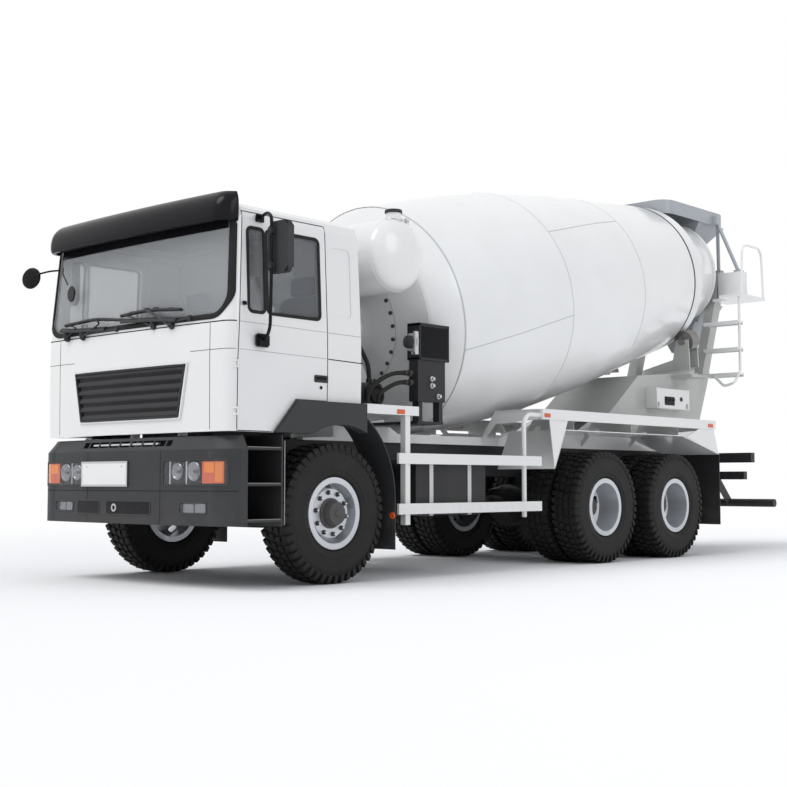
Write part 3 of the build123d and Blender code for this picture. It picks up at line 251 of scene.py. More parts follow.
slotMaterials = {
    "white_paint": white, "drum_paint": drumWhite, "black_frame": black, "dark_plastic": charcoal,
    "gloss_black": glossBlack, "wheel_silver": silver, "tyre_rubber": tyreRubber, "hose_rubber": hoseRubber,
    "glass_grey": paneTintAndReflection, "lamp_glass": lampGlass, "seat_fabric": seatFabric, "inner_trim": trim,
    "cast_metal": iron, "ring_steel": steel,
}
ownMaterials = {
    "hopper": hopperShadeGrey, "discharge_funnel": hopperShadeGrey, "cab_glass": screenTintAndReflection,
    "rear_pedestal": pedestalShadeGreige,
}
for part in frame["record"]["subparts"]:
    held = nodes[part["node"]].data.materials
    held.clear()
    held.append(ownMaterials.get(part["node"], slotMaterials[part["material_slot"]]))
print("frame painted")

# Camera at the photograph's place
view = {"spot": (8.586, -10.703, 0.801), "yaw": 42.43, "pitch": 3.87, "focus": 1318.2, "image": 787,
        "sensor": 36}
yaw, pitch = math.radians(view["yaw"]), math.radians(view["pitch"])
look = (-math.sin(yaw) * math.cos(pitch), math.cos(yaw) * math.cos(pitch), math.sin(pitch))
camera = placed("camera", bpy.data.cameras.new("camera"), view["spot"], look)
camera.data.lens = view["focus"] / view["image"] * view["sensor"]
camera.data.sensor_width = view["sensor"]
camera.data.clip_end = 300
scene.camera = camera


def lamp(name, kind, spot, look, **settings):
    light = bpy.data.lights.new(name, kind)
    for key, value in settings.items():
        setattr(light, key, value)
    placed(name, light, spot, look)


lamp("key", "SUN", (0, 0, 0), (0.15, 0.62, -0.9), energy=1.5, angle=math.radians(34))
lamp("side", "AREA", (15, 1, 9), (-15, -1, -7.5), shape="DISK", size=9, energy=380, color=(0.93, 0.96, 1))

# The world lights the truck evenly and shows white to the camera, in paint and through glass
world = bpy.data.worlds.new("studio")
scene.world = world
world.use_nodes = True
sky = world.node_tree
plain, bright = sky.nodes["Background"], sky.nodes.new("ShaderNodeBackground")
for light, colour, strength in ((plain, (0.93, 0.95, 1, 1), 0.62), (bright, (1, 1, 1, 1), 1)):
    light.inputs["Color"].default_value = colour
    light.inputs["Strength"].default_value = strength
rays, blend = sky.nodes.new("ShaderNodeLightPath"), sky.nodes.new("ShaderNodeMixShader")
seen = rays.outputs["Is Camera Ray"]
for ray in ("Is Glossy Ray", "Is Transmission Ray"):
    larger = sky.nodes.new("ShaderNodeMath")
    larger.operation = "MAXIMUM"
    sky.links.new(seen, larger.inputs[0])
    sky.links.new(rays.outputs[ray], larger.inputs[1])
    seen = larger.outputs[0]
for number, source in enumerate((seen, plain.outputs[0], bright.outputs[0])):
    sky.links.new(source, blend.inputs[number])
sky.links.new(blend.outputs[0], sky.nodes["World Output"].inputs[0])
scene.view_settings.view_transform = "Standard"

# A pale floor that fades to white far from the truck, for the camera alone
fade = {"from": 4.5, "to": 13.0}
bpy.ops.mesh.primitive_plane_add(size=160, location=(0, 0, 0))
floor = bpy.context.object
floor.name = "floor"
pale = Shade("pale_floor", {"Roughness": 0.9, "Specular IOR Level": 0.0})
pale.finish(Base_Color=pale.mix(pale.noise(0.4, 2), (0.93, 0.93, 0.93), (0.95, 0.95, 0.95)))
away = pale.add("ShaderNodeVectorMath", {"operation": "LENGTH"}, {0: pale.spot}, out="Value")
glow = pale.add("ShaderNodeEmission", None, {"Strength": 1.0})
toCamera = pale.add("ShaderNodeLightPath", out="Is Camera Ray") * pale.span(away, fade["from"], fade["to"])
faded = pale.add("ShaderNodeMixShader", None, {0: toCamera, 1: Wire(pale, pale.surface.outputs[0]), 2: glow})
pale.tree.links.new(faded.socket, pale.tree.nodes["Material Output"].inputs[0])
floor.data.materials.append(pale.material)
print("camera and light set")


# A mesh that is put together from simple forms before it becomes one piece
class Form:
    def __init__(self):
        self.mesh = bmesh.new()
        self.slots = []
        self.slot = 0

    def use(self, material):
        if material not in self.slots:
            self.slots.append(material)
        self.slot = self.slots.index(material)
        return self

    def mark(self, faces):
        for face in faces:
            face.material_index = self.slot

    def ease(self, edges, offset):
        bmesh.ops.bevel(self.mesh, geom=list(edges), offset=offset, segments=2, affect="EDGES", material=-1)

    def box(self, low, high, bevel=0.003):
        low, high = Vector(low), Vector(high)
        size = high - low
        spot = Matrix.Translation((low + high) / 2) @ Matrix.Diagonal((*size, 1))
        made = bmesh.ops.create_cube(self.mesh, size=1, matrix=spot)["verts"]
        self.mark({face for vert in made for face in vert.link_faces})
        if bevel:
            self.ease({edge for vert in made for edge in vert.link_edges}, min(bevel, 0.45 * min(size)))
        return self

    # Boxes by place along the truck; x is counted outwards on one side
    def slab(self, side, x0, x1, y0, y1, z0, z1, bevel=0.003):
        x0, x1 = sorted((side * x0, side * x1))
        return self.box(at(x0, y0, z0), at(x1, y1, z1), bevel)

    def rings(self, rings, closed=False):
        rows = [[self.mesh.verts.new(point) for point in ring] for ring in rings]
        count = len(rows[0])
        pairs = list(zip(rows, rows[1:]))
        if closed:
            pairs.append((rows[-1], rows[0]))
        made = []
        for first, second in pairs:
            for i in range(count):
                j = (i + 1) % count
                made.append(self.mesh.faces.new((first[i], first[j], second[j], second[i])))
        if not closed:
            made.append(self.mesh.faces.new(list(reversed(rows[0]))))
            made.append(self.mesh.faces.new(rows[-1]))
        self.mark(made)
        return self

    # Turns an outline of places along the axis and distances from it
    def spun(self, centre, axis, outline, steps=48, closed=True):
        centre, axis = Vector(centre), Vector(axis).normalized()
        side = axis.orthogonal().normalized()
        other = axis.cross(side)
        turns = [2 * math.pi * i / steps for i in range(steps)]
        spokes = [side * math.cos(turn) + other * math.sin(turn) for turn in turns]
        rings = [[centre + axis * along + spoke * max(out, 0.0002) for spoke in spokes] for along,
                 out in outline]
        return self.rings(rings, closed=closed)

    def tube(self, points, radius, bend=0.0, sides=12, flat=1.0):
        route = rounded([Vector(point) for point in points], bend)
        turns = [2 * math.pi * k / sides for k in range(sides)]
        rings, side = [], None
        for i, here in enumerate(route):
            ahead = (route[min(i + 1, len(route) - 1)] - route[max(i - 1, 0)]).normalized()
            side = ahead.orthogonal() if side is None else side - ahead * side.dot(ahead)
            side = side.normalized()
            other = ahead.cross(side) * flat
            rings.append([here + side * math.cos(t) * radius + other * math.sin(t) * radius for t in turns])
        return self.rings(rings)

    def prism(self, outline, push, bevel=0.0):
        push = Vector(push)
        base = [self.mesh.verts.new(point) for point in outline]
        top = [self.mesh.verts.new(Vector(point) + push) for point in outline]
        made = [self.mesh.faces.new(list(reversed(base))), self.mesh.faces.new(top)]
        for i in range(len(base)):
            j = (i + 1) % len(base)
            made.append(self.mesh.faces.new((base[i], base[j], top[j], top[i])))
        self.mark(made)
        if bevel:
            self.ease({edge for face in made for edge in face.edges}, bevel)
        return self

    def done(self, name, body=None, slot=None, sharp=35):
        bmesh.ops.recalc_face_normals(self.mesh, faces=self.mesh.faces)
        data = bpy.data.meshes.new(name)
        self.mesh.to_mesh(data)
        self.mesh.free()
        for material in self.slots:
            data.materials.append(material)
        return kept(name, data, body, slot, sharp)


# A mesh becomes a piece that rides on one body; a part for a node tree has no body
def kept(name, data, body, slot, sharp):
    data.shade_smooth()
    data.set_sharp_from_angle(angle=math.radians(sharp))
    piece = placed(name, data)
    if body:
        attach(piece, body)
    return piece


def rounded(points, bend, parts=6):
    if not bend:
        return points
    route = [points[0]]
    for before, here, after in zip(points, points[1:], points[2:]):
        back, ahead = before - here, after - here
        reach = min(bend, 0.48 * back.length, 0.48 * ahead.length)
        first, last = here + back.normalized() * reach, here + ahead.normalized() * reach
        for i in range(parts + 1):
            t = i / parts
            route.append(first * (1 - t) ** 2 + here * 2 * t * (1 - t) + last * t * t)
    return route + [points[-1]]


# Outlines for spun: a band round the axis, and a disc whose rim is eased between two heights
def bandOf(start, end, inner, outer):
    return [(start, inner), (start, outer), (end, outer), (end, inner)]


def capOf(radius, shoulder, top, crown):
    rim = [(shoulder, radius)] if shoulder else []
    return [(0, 0), (0, radius), *rim, (top, crown), (top, 0)]


# Hoses follow the same routes as the solids they stand for
hoses = {
    "upper_hose": {"length": 0.618, "route": [
        (1, 0.54, 1.462), (1, 0.54, 1.56), (1.03, 0.64, 1.66), (1.052, 0.78, 1.725), (1.06, 0.9, 1.74),
        (1.06, 1.006, 1.74)]},
    "lower_hose": {"length": 0.49, "route": [
        (1.05, 0.61, 1.462), (1.05, 0.61, 1.53), (1.056, 0.7, 1.59), (1.062, 0.81, 1.64), (1.066, 0.9, 1.66),
        (1.066, 1.006, 1.66)]},
    "motor_hose": {"length": 1.395, "route": [
        (0.11, 0.47, 2.205), (0.11, 0.47, 2.33), (0.23, 0.44, 2.4), (0.42, 0.45, 2.39), (0.6, 0.48, 2.32),
        (0.74, 0.53, 2.2), (0.8, 0.6, 2.03), (0.815, 0.68, 1.9), (0.82, 0.745, 1.8), (0.82, 0.745, 1.69)]},
}
hoseRadius = 0.019
for name, spec in hoses.items():
    route = spec["route"]
    curve = bpy.data.curves.new(name + "_line", "CURVE")
    curve.dimensions = "3D"
    curve.bevel_depth = hoseRadius
    curve.bevel_resolution = 4
    curve.resolution_u = 12
    curve.use_fill_caps = True
    line = curve.splines.new("NURBS")
    line.points.add(len(route) - 1)
    for point, spot in zip(line.points, route):
        point.co = (*at(*spot), 1)
    line.order_u = 3
    line.use_endpoint_u = True
    curve.materials.append(hoseRubber)
    hose = placed(name + "_skin", curve)
    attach(hose, "chassis")
    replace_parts(hose, name)
    at(*route[0])
print("hoses laid")


# Node trees that repeat a part; every size is an input of the modifier
class Tree:
    def __init__(self, name, inputs):
        self.tree = bpy.data.node_groups.new(name, "GeometryNodeTree")
        self.sockets = {}
        face = self.tree.interface
        face.new_socket("Geometry", in_out="INPUT", socket_type="NodeSocketGeometry")
        for label, kind in inputs.items():
            made = face.new_socket(label, in_out="INPUT", socket_type="NodeSocket" + kind)
            self.sockets[label] = made.identifier
        face.new_socket("Geometry", in_out="OUTPUT", socket_type="NodeSocketGeometry")
        self.given = self.tree.nodes.new("NodeGroupInput").outputs

    def add(self, kind, settings=None, values=None, out=0):
        node = self.tree.nodes.new(kind)
        for key, value in (settings or {}).items():
            setattr(node, key, value)
        for key, value in (values or {}).items():
            if isinstance(value, list):
                for one in value:
                    self.tree.links.new(one, node.inputs[key])
            elif isinstance(value, bpy.types.NodeSocket):
                self.tree.links.new(value, node.inputs[key])
            else:
                node.inputs[key].default_value = value
        return node.outputs[out]

    def maths(self, operation, first, second):
        return self.add("ShaderNodeMath", {"operation": operation}, {0: first, 1: second})

    def part(self, held):
        return self.add("GeometryNodeObjectInfo", None, {"Object": held}, out="Geometry")

    def line(self, count, first=(0, 0, 0), step=(0, 0, 0)):
        values = {"Count": count, "Start Location": first, "Offset": step}
        return self.add("GeometryNodeMeshLine", None, values)

    def copies(self, points, shape, **values):
        return self.add("GeometryNodeInstanceOnPoints", None, {"Points": points, "Instance": shape, **values})

    def ringOf(self, held, count, start=0.0):
        index = self.add("GeometryNodeInputIndex")
        swept = self.maths("DIVIDE", self.maths("MULTIPLY", index, 2 * math.pi), count)
        turn = self.maths("ADD", swept, start)
        euler = self.add("ShaderNodeCombineXYZ", None, {"X": turn})
        rotation = self.add("FunctionNodeEulerToRotation", None, {"Euler": euler})
        return self.copies(self.line(count), self.part(held), Rotation=rotation)

    def close(self, shape, material):
        shape = self.add("GeometryNodeRealizeInstances", None, {"Geometry": shape})
        shape = self.add("GeometryNodeSetMaterial", None, {"Geometry": shape, "Material": material})
        self.tree.links.new(shape, self.tree.nodes.new("NodeGroupOutput").inputs[0])


# Runs a tree on a base mesh and keeps the result as a plain mesh on one body
def grown(name, tree, values, body, slot, base=None):
    if base is None:
        base = placed(name + "_base", bpy.data.meshes.new(name + "_base"))
    modifier = base.modifiers.new("grow", "NODES")
    modifier.node_group = tree.tree
    for label, value in values.items():
        modifier[tree.sockets[label]] = value
    plain = bpy.data.meshes.new_from_object(base.evaluated_get(bpy.context.evaluated_depsgraph_get()))
    base.modifiers.remove(modifier)
    bpy.data.objects.remove(base)
    return kept(name, plain, body, slot, 35)


def dropped(*parts):
    for part in parts:
        bpy.data.objects.remove(part)


tyreTree = Tree("treaded_tyre", {
    "Lug": "Object", "Lugs": "Int", "First": "Vector", "Step": "Vector", "Tyres": "Int",
    "Rubber": "Material"})
given = tyreTree.given
lugs = tyreTree.ringOf(given["Lug"], given["Lugs"])
whole = tyreTree.add("GeometryNodeJoinGeometry", None, {0: [lugs, given["Geometry"]]})
whole = tyreTree.add("GeometryNodeRealizeInstances", None, {"Geometry": whole})
spots = tyreTree.line(given["Tyres"], given["First"], given["Step"])
tyreTree.close(tyreTree.copies(spots, whole), given["Rubber"])

ringTree = Tree("ring_of_parts", {
    "Part": "Object", "Count": "Int", "Start": "Float", "Centre": "Vector", "Aim": "Vector",
    "Finish": "Material"})
given = ringTree.given
ring = ringTree.ringOf(given["Part"], given["Count"], given["Start"])
aim = ringTree.add("FunctionNodeEulerToRotation", None, {"Euler": given["Aim"]})
turned = {"Geometry": ring, "Translation": given["Centre"], "Rotation": aim}
ringTree.close(ringTree.add("GeometryNodeTransform", None, turned), given["Finish"])

rowTree = Tree("row_of_parts", {
    "Part": "Object", "Count": "Int", "First": "Vector", "Step": "Vector", "Narrowing": "Float",
    "Finish": "Material"})
given = rowTree.given
index = rowTree.add("GeometryNodeInputIndex")
narrow = rowTree.maths("ADD", rowTree.maths("MULTIPLY", index, given["Narrowing"]), 1.0)
scale = rowTree.add("ShaderNodeCombineXYZ", None, {"X": narrow, "Y": 1.0, "Z": 1.0})
spots = rowTree.line(given["Count"], given["First"], given["Step"])
rowTree.close(rowTree.copies(spots, rowTree.part(given["Part"]), Scale=scale), given["Finish"])
print("trees built")

# Tyres: a turned carcass with sidewall rings, and lugs instanced round it
tyre = {
    "lugs": 46, "slant": 0.012,
    "wall": [
        (0.1164, 0.2548), (0.1164, 0.289), (0.126, 0.3), (0.134, 0.304), (0.1375, 0.312), (0.1395, 0.313),
        (0.1405, 0.322), (0.1455, 0.342), (0.1478, 0.345), (0.1482, 0.351), (0.1472, 0.355), (0.149, 0.385),
        (0.1494, 0.42), (0.149, 0.448), (0.1496, 0.452), (0.1494, 0.459), (0.148, 0.463), (0.146, 0.485),
        (0.142, 0.502), (0.136, 0.52), (0.122, 0.535), (0.09, 0.541)],
    "shoulder": [
        (0.072, 0.538), (0.072, 0.5548), (0.118, 0.5548), (0.134, 0.5505), (0.1493, 0.5), (0.1455, 0.488),
        (0.128, 0.53)],
    "middle": [(0.008, 0.538), (0.008, 0.5565), (0.058, 0.5565), (0.058, 0.538)],
}
wheels = {
    "wheel_front": {
        "tyre": "tyre_front", "outer": 1.022, "y": 0.0, "tyres": 1, "face": 1.1062,
        "hub": [(0, 0), (0, 0.121), (0.012, 0.121), (0.016, 0.115), (0.02, 0.108), (0.05, 0.1),
                (0.06, 0.098), (0.064, 0.094), (0.072, 0.092), (0.0815, 0.088), (0.0835, 0.075),
                (0.0835, 0.03), (0.089, 0.026), (0.089, 0)]},
    "wheels_middle": {
        "tyre": "tyres_middle", "outer": 1.085, "y": 3.775, "tyres": 2, "face": 0.9267,
        "hub": [(0, 0), (0, 0.124), (0.014, 0.122), (0.02, 0.104), (0.06, 0.102), (0.072, 0.09),
                (0.126, 0.088), (0.131, 0.07), (0.131, 0)]},
}
wheels["wheels_rear"] = {**wheels["wheels_middle"], "tyre": "tyres_rear", "y": 5.125}
twinSpacing = 0.345
profile = tyre["wall"] + [(-x, r) for x, r in reversed(tyre["wall"])]
lugForm = Form()
for side in (-1, 1):
    start = -0.03 if side > 0 else 0.008
    lugForm.prism([(side * x, start, z) for x, z in tyre["shoulder"]], (tyre["slant"] * side, 0.05, 0), 0.002)
    start = -tyre["slant"] * side - 0.027
    lugForm.prism([(side * x, start, z) for x, z in tyre["middle"]], (0, 0.054, 0), 0.002)
lug = lugForm.done("lug")
for kind, spec in wheels.items():
    for side, sideName in sides:
        carcass = Form().spun((0, 0, 0), (1, 0, 0), profile, 96).done("carcass")
        tread = grown(f"{spec['tyre']}_{sideName}_tread", tyreTree, {
            "Lug": lug, "Lugs": tyre["lugs"], "First": at(side * spec["outer"], spec["y"], hubHeight),
            "Step": (-side * twinSpacing, 0, 0), "Tyres": spec["tyres"], "Rubber": tyreRubber,
        }, f"{kind}_{sideName}", "tyre_rubber", carcass)
        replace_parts(tread, f"{spec['tyre']}_{sideName}")
print("tyres treaded")

# Hubs, wheel nuts and their studs
nuts = {"count": 10, "circle": 0.167, "across": 0.0165, "washer": 0.02, "start": 0.16}
nutForm = Form().spun((0, 0, nuts["circle"]), (1, 0, 0), bandOf(0, 0.004, 0, nuts["washer"]), 12)
nutForm.spun((0.004, 0, nuts["circle"]), (1, 0, 0), capOf(nuts["across"], 0.017, 0.019, 0.014), 6)
nut = nutForm.done("nut")
stud = Form().spun((0.02, 0, nuts["circle"]), (1, 0, 0), capOf(0.0085, 0.014, 0.016, 0.006), 10).done("stud")
for kind, spec in wheels.items():
    for side, sideName in sides:
        body, centre = f"{kind}_{sideName}", at(side * spec["face"], spec["y"], hubHeight)
        Form().use(iron).spun(centre, (side, 0, 0), spec["hub"]).done(body + "_hub", body, "cast_metal")
        values = {"Count": nuts["count"], "Start": nuts["start"], "Centre": centre,
                  "Aim": (0, 0, 0 if side > 0 else math.pi)}
        for part, label, finish, slot in ((nut, "nuts", iron, "cast_metal"),
                                          (stud, "studs", chrome, "ring_steel")):
            grown(f"{body}_{label}", ringTree, {"Part": part, "Finish": finish, **values}, body, slot)
dropped(lug, nut, stud)
print("hubs and nuts set")


# The cab's skin, as its solid has it: height, half width and nose
cabRows = [(1.181, 1.192, -1.16), (1.74, 1.2, -1.165), (1.985, 1.197, -1.163), (2.8, 1.16, -1.098),
           (2.868, 1.135, -1.078)]
cabCorner, cabBow = 0.085, 0.025


def cabAt(z):
    for low, high in zip(cabRows, cabRows[1:]):
        if z <= high[0] or high is cabRows[-1]:
            t = (z - low[0]) / (high[0] - low[0])
            return low[1] + (high[1] - low[1]) * t, low[2] + (high[2] - low[2]) * t


def frontSkin(x, z, out=0.0):
    half, nose = cabAt(z)
    flat = half - cabCorner
    if abs(x) <= flat:
        return at(x, nose + cabBow * (x / flat) ** 2 - out, z)
    side = abs(x) - flat
    drop = math.sqrt(max(cabCorner ** 2 - side ** 2, 0))
    away = Vector((math.copysign(side / cabCorner, x), -drop / cabCorner, 0))
    return at(x, nose + cabBow + cabCorner - drop, z) + away * out


def sideSkin(side):
    return lambda y, z, out=0.0: at(side * (cabAt(z)[0] + out), y, z)


def roundedBox(u0, u1, v0, v1, radius, parts=6):
    points = []
    inner = corners(u0 + radius, u1 - radius, v0 + radius, v1 - radius)
    for quarter, (u, v) in enumerate((inner[2], inner[3], inner[0], inner[1])):
        for i in range(parts + 1):
            turn = math.radians(90 * quarter + 90 * i / parts)
            points.append((u + radius * math.cos(turn), v + radius * math.sin(turn)))
    return points


def corners(u0, u1, v0, v1):
    return [(u0, v0), (u1, v0), (u1, v1), (u0, v1)]


# A closed outline whose corners are arcs, each with its own radius
def softened(points, radii, parts=8):
    route = []
    for i, (here, radius) in enumerate(zip(points, radii)):
        here = Vector(here)
        back = (Vector(points[i - 1]) - here).normalized()
        ahead = (Vector(points[(i + 1) % len(points)]) - here).normalized()
        half = back.angle(ahead) / 2
        centre = here + (back + ahead).normalized() * radius / math.sin(half)
        first = here + back * radius / math.tan(half) - centre
        last = here + ahead * radius / math.tan(half) - centre
        start, swing = math.atan2(first.y, first.x), math.atan2(last.y, last.x)
        swing = (swing - start + math.pi) % (2 * math.pi) - math.pi
        turns = [start + swing * k / parts for k in range(parts + 1)]
        route.extend((centre.x + radius * math.cos(t), centre.y + radius * math.sin(t)) for t in turns)
    return route


def filled(points, gap, closed=True):
    route = []
    for (u, v), (w, t) in zip(points, points[1:] + (points[:1] if closed else [])):
        parts = max(1, round(math.hypot(w - u, t - v) / gap))
        route.extend((u + (w - u) * i / parts, v + (t - v) * i / parts) for i in range(parts))
    return route if closed else route + [points[-1]]


# A strip that follows a line drawn on a skin
def skinHoop(form, skin, points, wide, deep, sunk=0.002, gap=0.06, closed=True):
    route = filled(points, gap, closed)
    count = len(route)
    rings = []
    for i, (u, v) in enumerate(route):
        before, after = route[i - 1], route[(i + 1) % count]
        if not closed:
            before, after = route[max(i - 1, 0)], route[min(i + 1, count - 1)]
        along = Vector((after[0] - before[0], after[1] - before[1])).normalized()
        across = Vector((along.y, -along.x)) * wide / 2
        section = ((1, -sunk), (1, deep * 0.6), (0.6, deep), (-0.6, deep), (-1, deep * 0.6), (-1, -sunk))
        rings.append([skin(u + across.x * k, v + across.y * k, out) for k, out in section])
    return form.rings(rings, closed=closed)


# Seams and pressed lines are open strips that hardly rise; their dark colour is painted shade in the gap or
# crease
def seam(form, skin, points, wide, deep=0.001, gap=0.06):
    return skinHoop(form, skin, points, wide, deep, gap=gap, closed=False)


# A thin raised patch of a skin, with its own thickness
def skinPatch(form, skin, outline, out, thick, across=20, up=4):
    (u0, v0), (u1, v1), (u2, v2), (u3, v3) = outline
    sheets = []
    for lift in (out, out + thick):
        rows = []
        for j in range(up + 1):
            t = j / up
            row = []
            for i in range(across + 1):
                s = i / across
                u = (u0 * (1 - s) + u1 * s) * (1 - t) + (u3 * (1 - s) + u2 * s) * t
                v = (v0 * (1 - s) + v1 * s) * (1 - t) + (v3 * (1 - s) + v2 * s) * t
                row.append(form.mesh.verts.new(skin(u, v, lift)))
            rows.append(row)
        sheets.append(rows)
    under, over = sheets
    strips = [strip for rows in sheets for strip in zip(rows, rows[1:])]
    strips += [(under[k], over[k]) for k in (0, -1)]
    strips += [([row[k] for row in under], [row[k] for row in over]) for k in (0, -1)]
    made = []
    for low, high in strips:
        for i in range(len(low) - 1):
            made.append(form.mesh.faces.new((low[i], low[i + 1], high[i + 1], high[i])))
    form.mark(made)
    return form


# Seals round the windscreen and the doors' panes
screen = {"outline": [(-1.168, 2.04), (1.168, 2.04), (1.128, 2.795), (-1.128, 2.795)],
          "radii": [0.17, 0.17, 0.08, 0.08]}
doorPanes = [(-0.95, -0.785, 2.08, 2.72), (-0.762, -0.205, 2.08, 2.72)]
seals = Form().use(sealRubberAndGapShade)
skinHoop(seals, frontSkin, softened(screen["outline"], screen["radii"]), 0.042, 0.009)
seals.done("cab_seals", "cab", "dark_plastic")
for side, sideName in sides:
    seals = Form().use(sealRubberAndGapShade)
    for pane in doorPanes:
        skinHoop(seals, sideSkin(side), roundedBox(*pane, 0.04), 0.026, 0.006, gap=0.15)
    seals.done(f"door_{sideName}_seals", f"door_{sideName}", "dark_plastic")
print("seals laid")

# Grille: black backing, white frame with a black inner edge, and slats that follow the cab's bow
grille = {"topHalf": 0.735, "topZ": 1.705, "lowHalf": 0.65, "lowZ": 1.29, "slats": 6, "inset": 0.022,
          "flat": 1.115, "parts": 24, "face": -1.1625,
          "section": [(-0.004, 0.0), (-0.017, 0.012), (-0.017, 0.02), (-0.004, 0.047)]}


def grilleOutline(inset, top, low):
    topHalf, lowHalf = grille["topHalf"] - inset, grille["lowHalf"] - inset
    topZ, lowZ = grille["topZ"] - top, grille["lowZ"] + low
    return [(-lowHalf, lowZ), (lowHalf, lowZ), (topHalf, topZ), (-topHalf, topZ)]


backing = Form().use(glossBlack)
skinPatch(backing, frontSkin, grilleOutline(0, 0, 0), 0.0005, 0.003, 28, 2)
backing.done("grille_back", "cab", "dark_plastic")
surround = Form().use(white)
skinHoop(surround, frontSkin, grilleOutline(0, 0, 0), 0.022, 0.016, gap=0.1)
surround.use(black)
skinHoop(surround, frontSkin, grilleOutline(grille["inset"], 0.014, 0.012), 0.024, 0.0215, gap=0.1)
surround.done("grille_frame", "cab", "white_paint")
slatHalf, parts = grille["lowHalf"] * 0.985, grille["parts"]
places = [-slatHalf + 2 * slatHalf * i / parts for i in range(parts + 1)]
bows = [(x, cabBow * (x / grille["flat"]) ** 2) for x in places]
slat = Form().rings([[(x, bow + y, z) for y, z in grille["section"]] for x, bow in bows]).done("slat")
slats = grown("grille_slats", rowTree, {
    "Part": slat, "Count": grille["slats"], "First": at(0, grille["face"], grille["lowZ"] + 0.012),
    "Step": (0, -0.0006, (grille["topZ"] - grille["lowZ"]) / grille["slats"]),
    "Narrowing": (grille["topHalf"] / grille["lowHalf"] - 1) / grille["slats"], "Finish": black,
}, "cab", "dark_plastic")
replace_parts(slats, "grille")
dropped(slat)
print("grille made")

# Sun visor: one shell whose plan is bowed and whose ends are round; rows of height, half width and nose
visor = {
    "corner": 0.12, "bow": 0.03, "rear": -1.035, "wall": 0.02, "parts": 8,
    "rows": [(2.752, 1.158, -1.212), (2.762, 1.162, -1.22), (2.78, 1.1645, -1.2245), (2.8, 1.166, -1.226),
             (2.84, 1.1675, -1.2225), (2.88, 1.168, -1.213), (2.915, 1.166, -1.198), (2.945, 1.16, -1.177),
             (2.968, 1.151, -1.154), (2.983, 1.14, -1.131)],
}


def visorPlan(z, half, nose):
    corner, bow, parts = visor["corner"], visor["bow"], visor["parts"]
    flat, plan = half - corner, [(half, visor["rear"])]
    for i in range(parts + 1):
        turn = math.pi / 2 * i / parts
        plan.append((flat + corner * math.cos(turn), nose + bow + corner - corner * math.sin(turn)))
    plan.extend((flat * (1 - i / parts), nose + bow * (1 - i / parts) ** 2) for i in range(1, parts + 1))
    plan += [(-x, y) for x, y in reversed(plan[:-1])]
    return [at(x, min(y, visor["rear"]), z) for x, y in plan]


wall = visor["wall"]
outer = [visorPlan(*row) for row in visor["rows"]]
inner = [visorPlan(z - 0.012 if z > 2.96 else z, half - wall, nose + wall) for z, half, nose in visor["rows"]]
shell = [[row[i] for row in outer] + [row[i] for row in reversed(inner)] for i in range(len(outer[0]))]
hood = Form().use(glossBlack).rings(shell)
for x in (-0.9, 0, 0.9):
    hood.slab(1, x - 0.025, x + 0.025, -1.13, -1.03, 2.885, 2.94)
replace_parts(hood.done("visor_shell", "cab", "gloss_black"), "sun_visor")
# A dark band along the windscreen's top, under the visor: painted shadow of the visor
band = Form().use(glossBlack)
outline = [(-1.095, 2.705), (1.095, 2.705), (1.085, 2.785), (-1.085, 2.785)]
skinPatch(band, frontSkin, outline, -0.0135, 0.0008, 24, 2)
band.done("visor_band", "cab", "gloss_black")
print("visor made")

# Panel seams, pressed lines and the door furniture; a seam round a corner takes a finer gap
fineGap = 0.006
doorEdge = [(-1.06, 1.2), (-1.06, 1.74), (-0.995, 2.84), (-0.128, 2.84), (-0.128, 1.3)]
# The dark seam strips are painted shade in the panel gaps; the grey strips are painted shade along pressed
# lines
seams = Form().use(sealRubberAndGapShade)
seam(seams, frontSkin, [(-1.195, 1.998), (1.195, 1.998)], 0.009, 0.0012, fineGap)
for side, sideName in sides:
    skin = sideSkin(side)
    seams.use(sealRubberAndGapShade)
    seam(seams, frontSkin, [(side * 0.98, 1.2), (side * 0.98, 1.99)], 0.005)
    seam(seams, frontSkin, [(side * 0.76, 1.79), (side * 1.197, 1.79)], 0.004, gap=fineGap)
    seam(seams, skin, [(-0.12, 1.775), (0.27, 1.765)], 0.008)
    seam(seams, skin, doorEdge, 0.006)
    seams.use(pressedLineShade)
    seam(seams, skin, [(-0.12, 1.985), (0.27, 1.98)], 0.006)
    furniture = Form().use(pressedLineShade)
    seam(furniture, skin, [(-1.04, 1.998), (-0.142, 1.986)], 0.005)
    seam(furniture, skin, [(-1.04, 1.79), (-0.142, 1.777)], 0.005)
    furniture.use(charcoal).slab(side, 1.195, 1.208, -0.275, -0.125, 1.585, 1.642, 0.006)
    furniture.use(glossBlack).slab(side, 1.204, 1.222, -0.262, -0.15, 1.606, 1.628, 0.008)
    furniture.spun(at(side * 1.2, -0.2, 1.545), (side, 0, 0), capOf(0.014, 0, 0.004, 0.012), 20)
    furniture.slab(side, 1.198, 1.21, -1.02, -0.98, 2.12, 2.15, 0.004)
    furniture.done(f"door_{sideName}_fittings", f"door_{sideName}", "dark_plastic")
seams.done("cab_seams", "cab", "dark_plastic")
print("seams drawn")

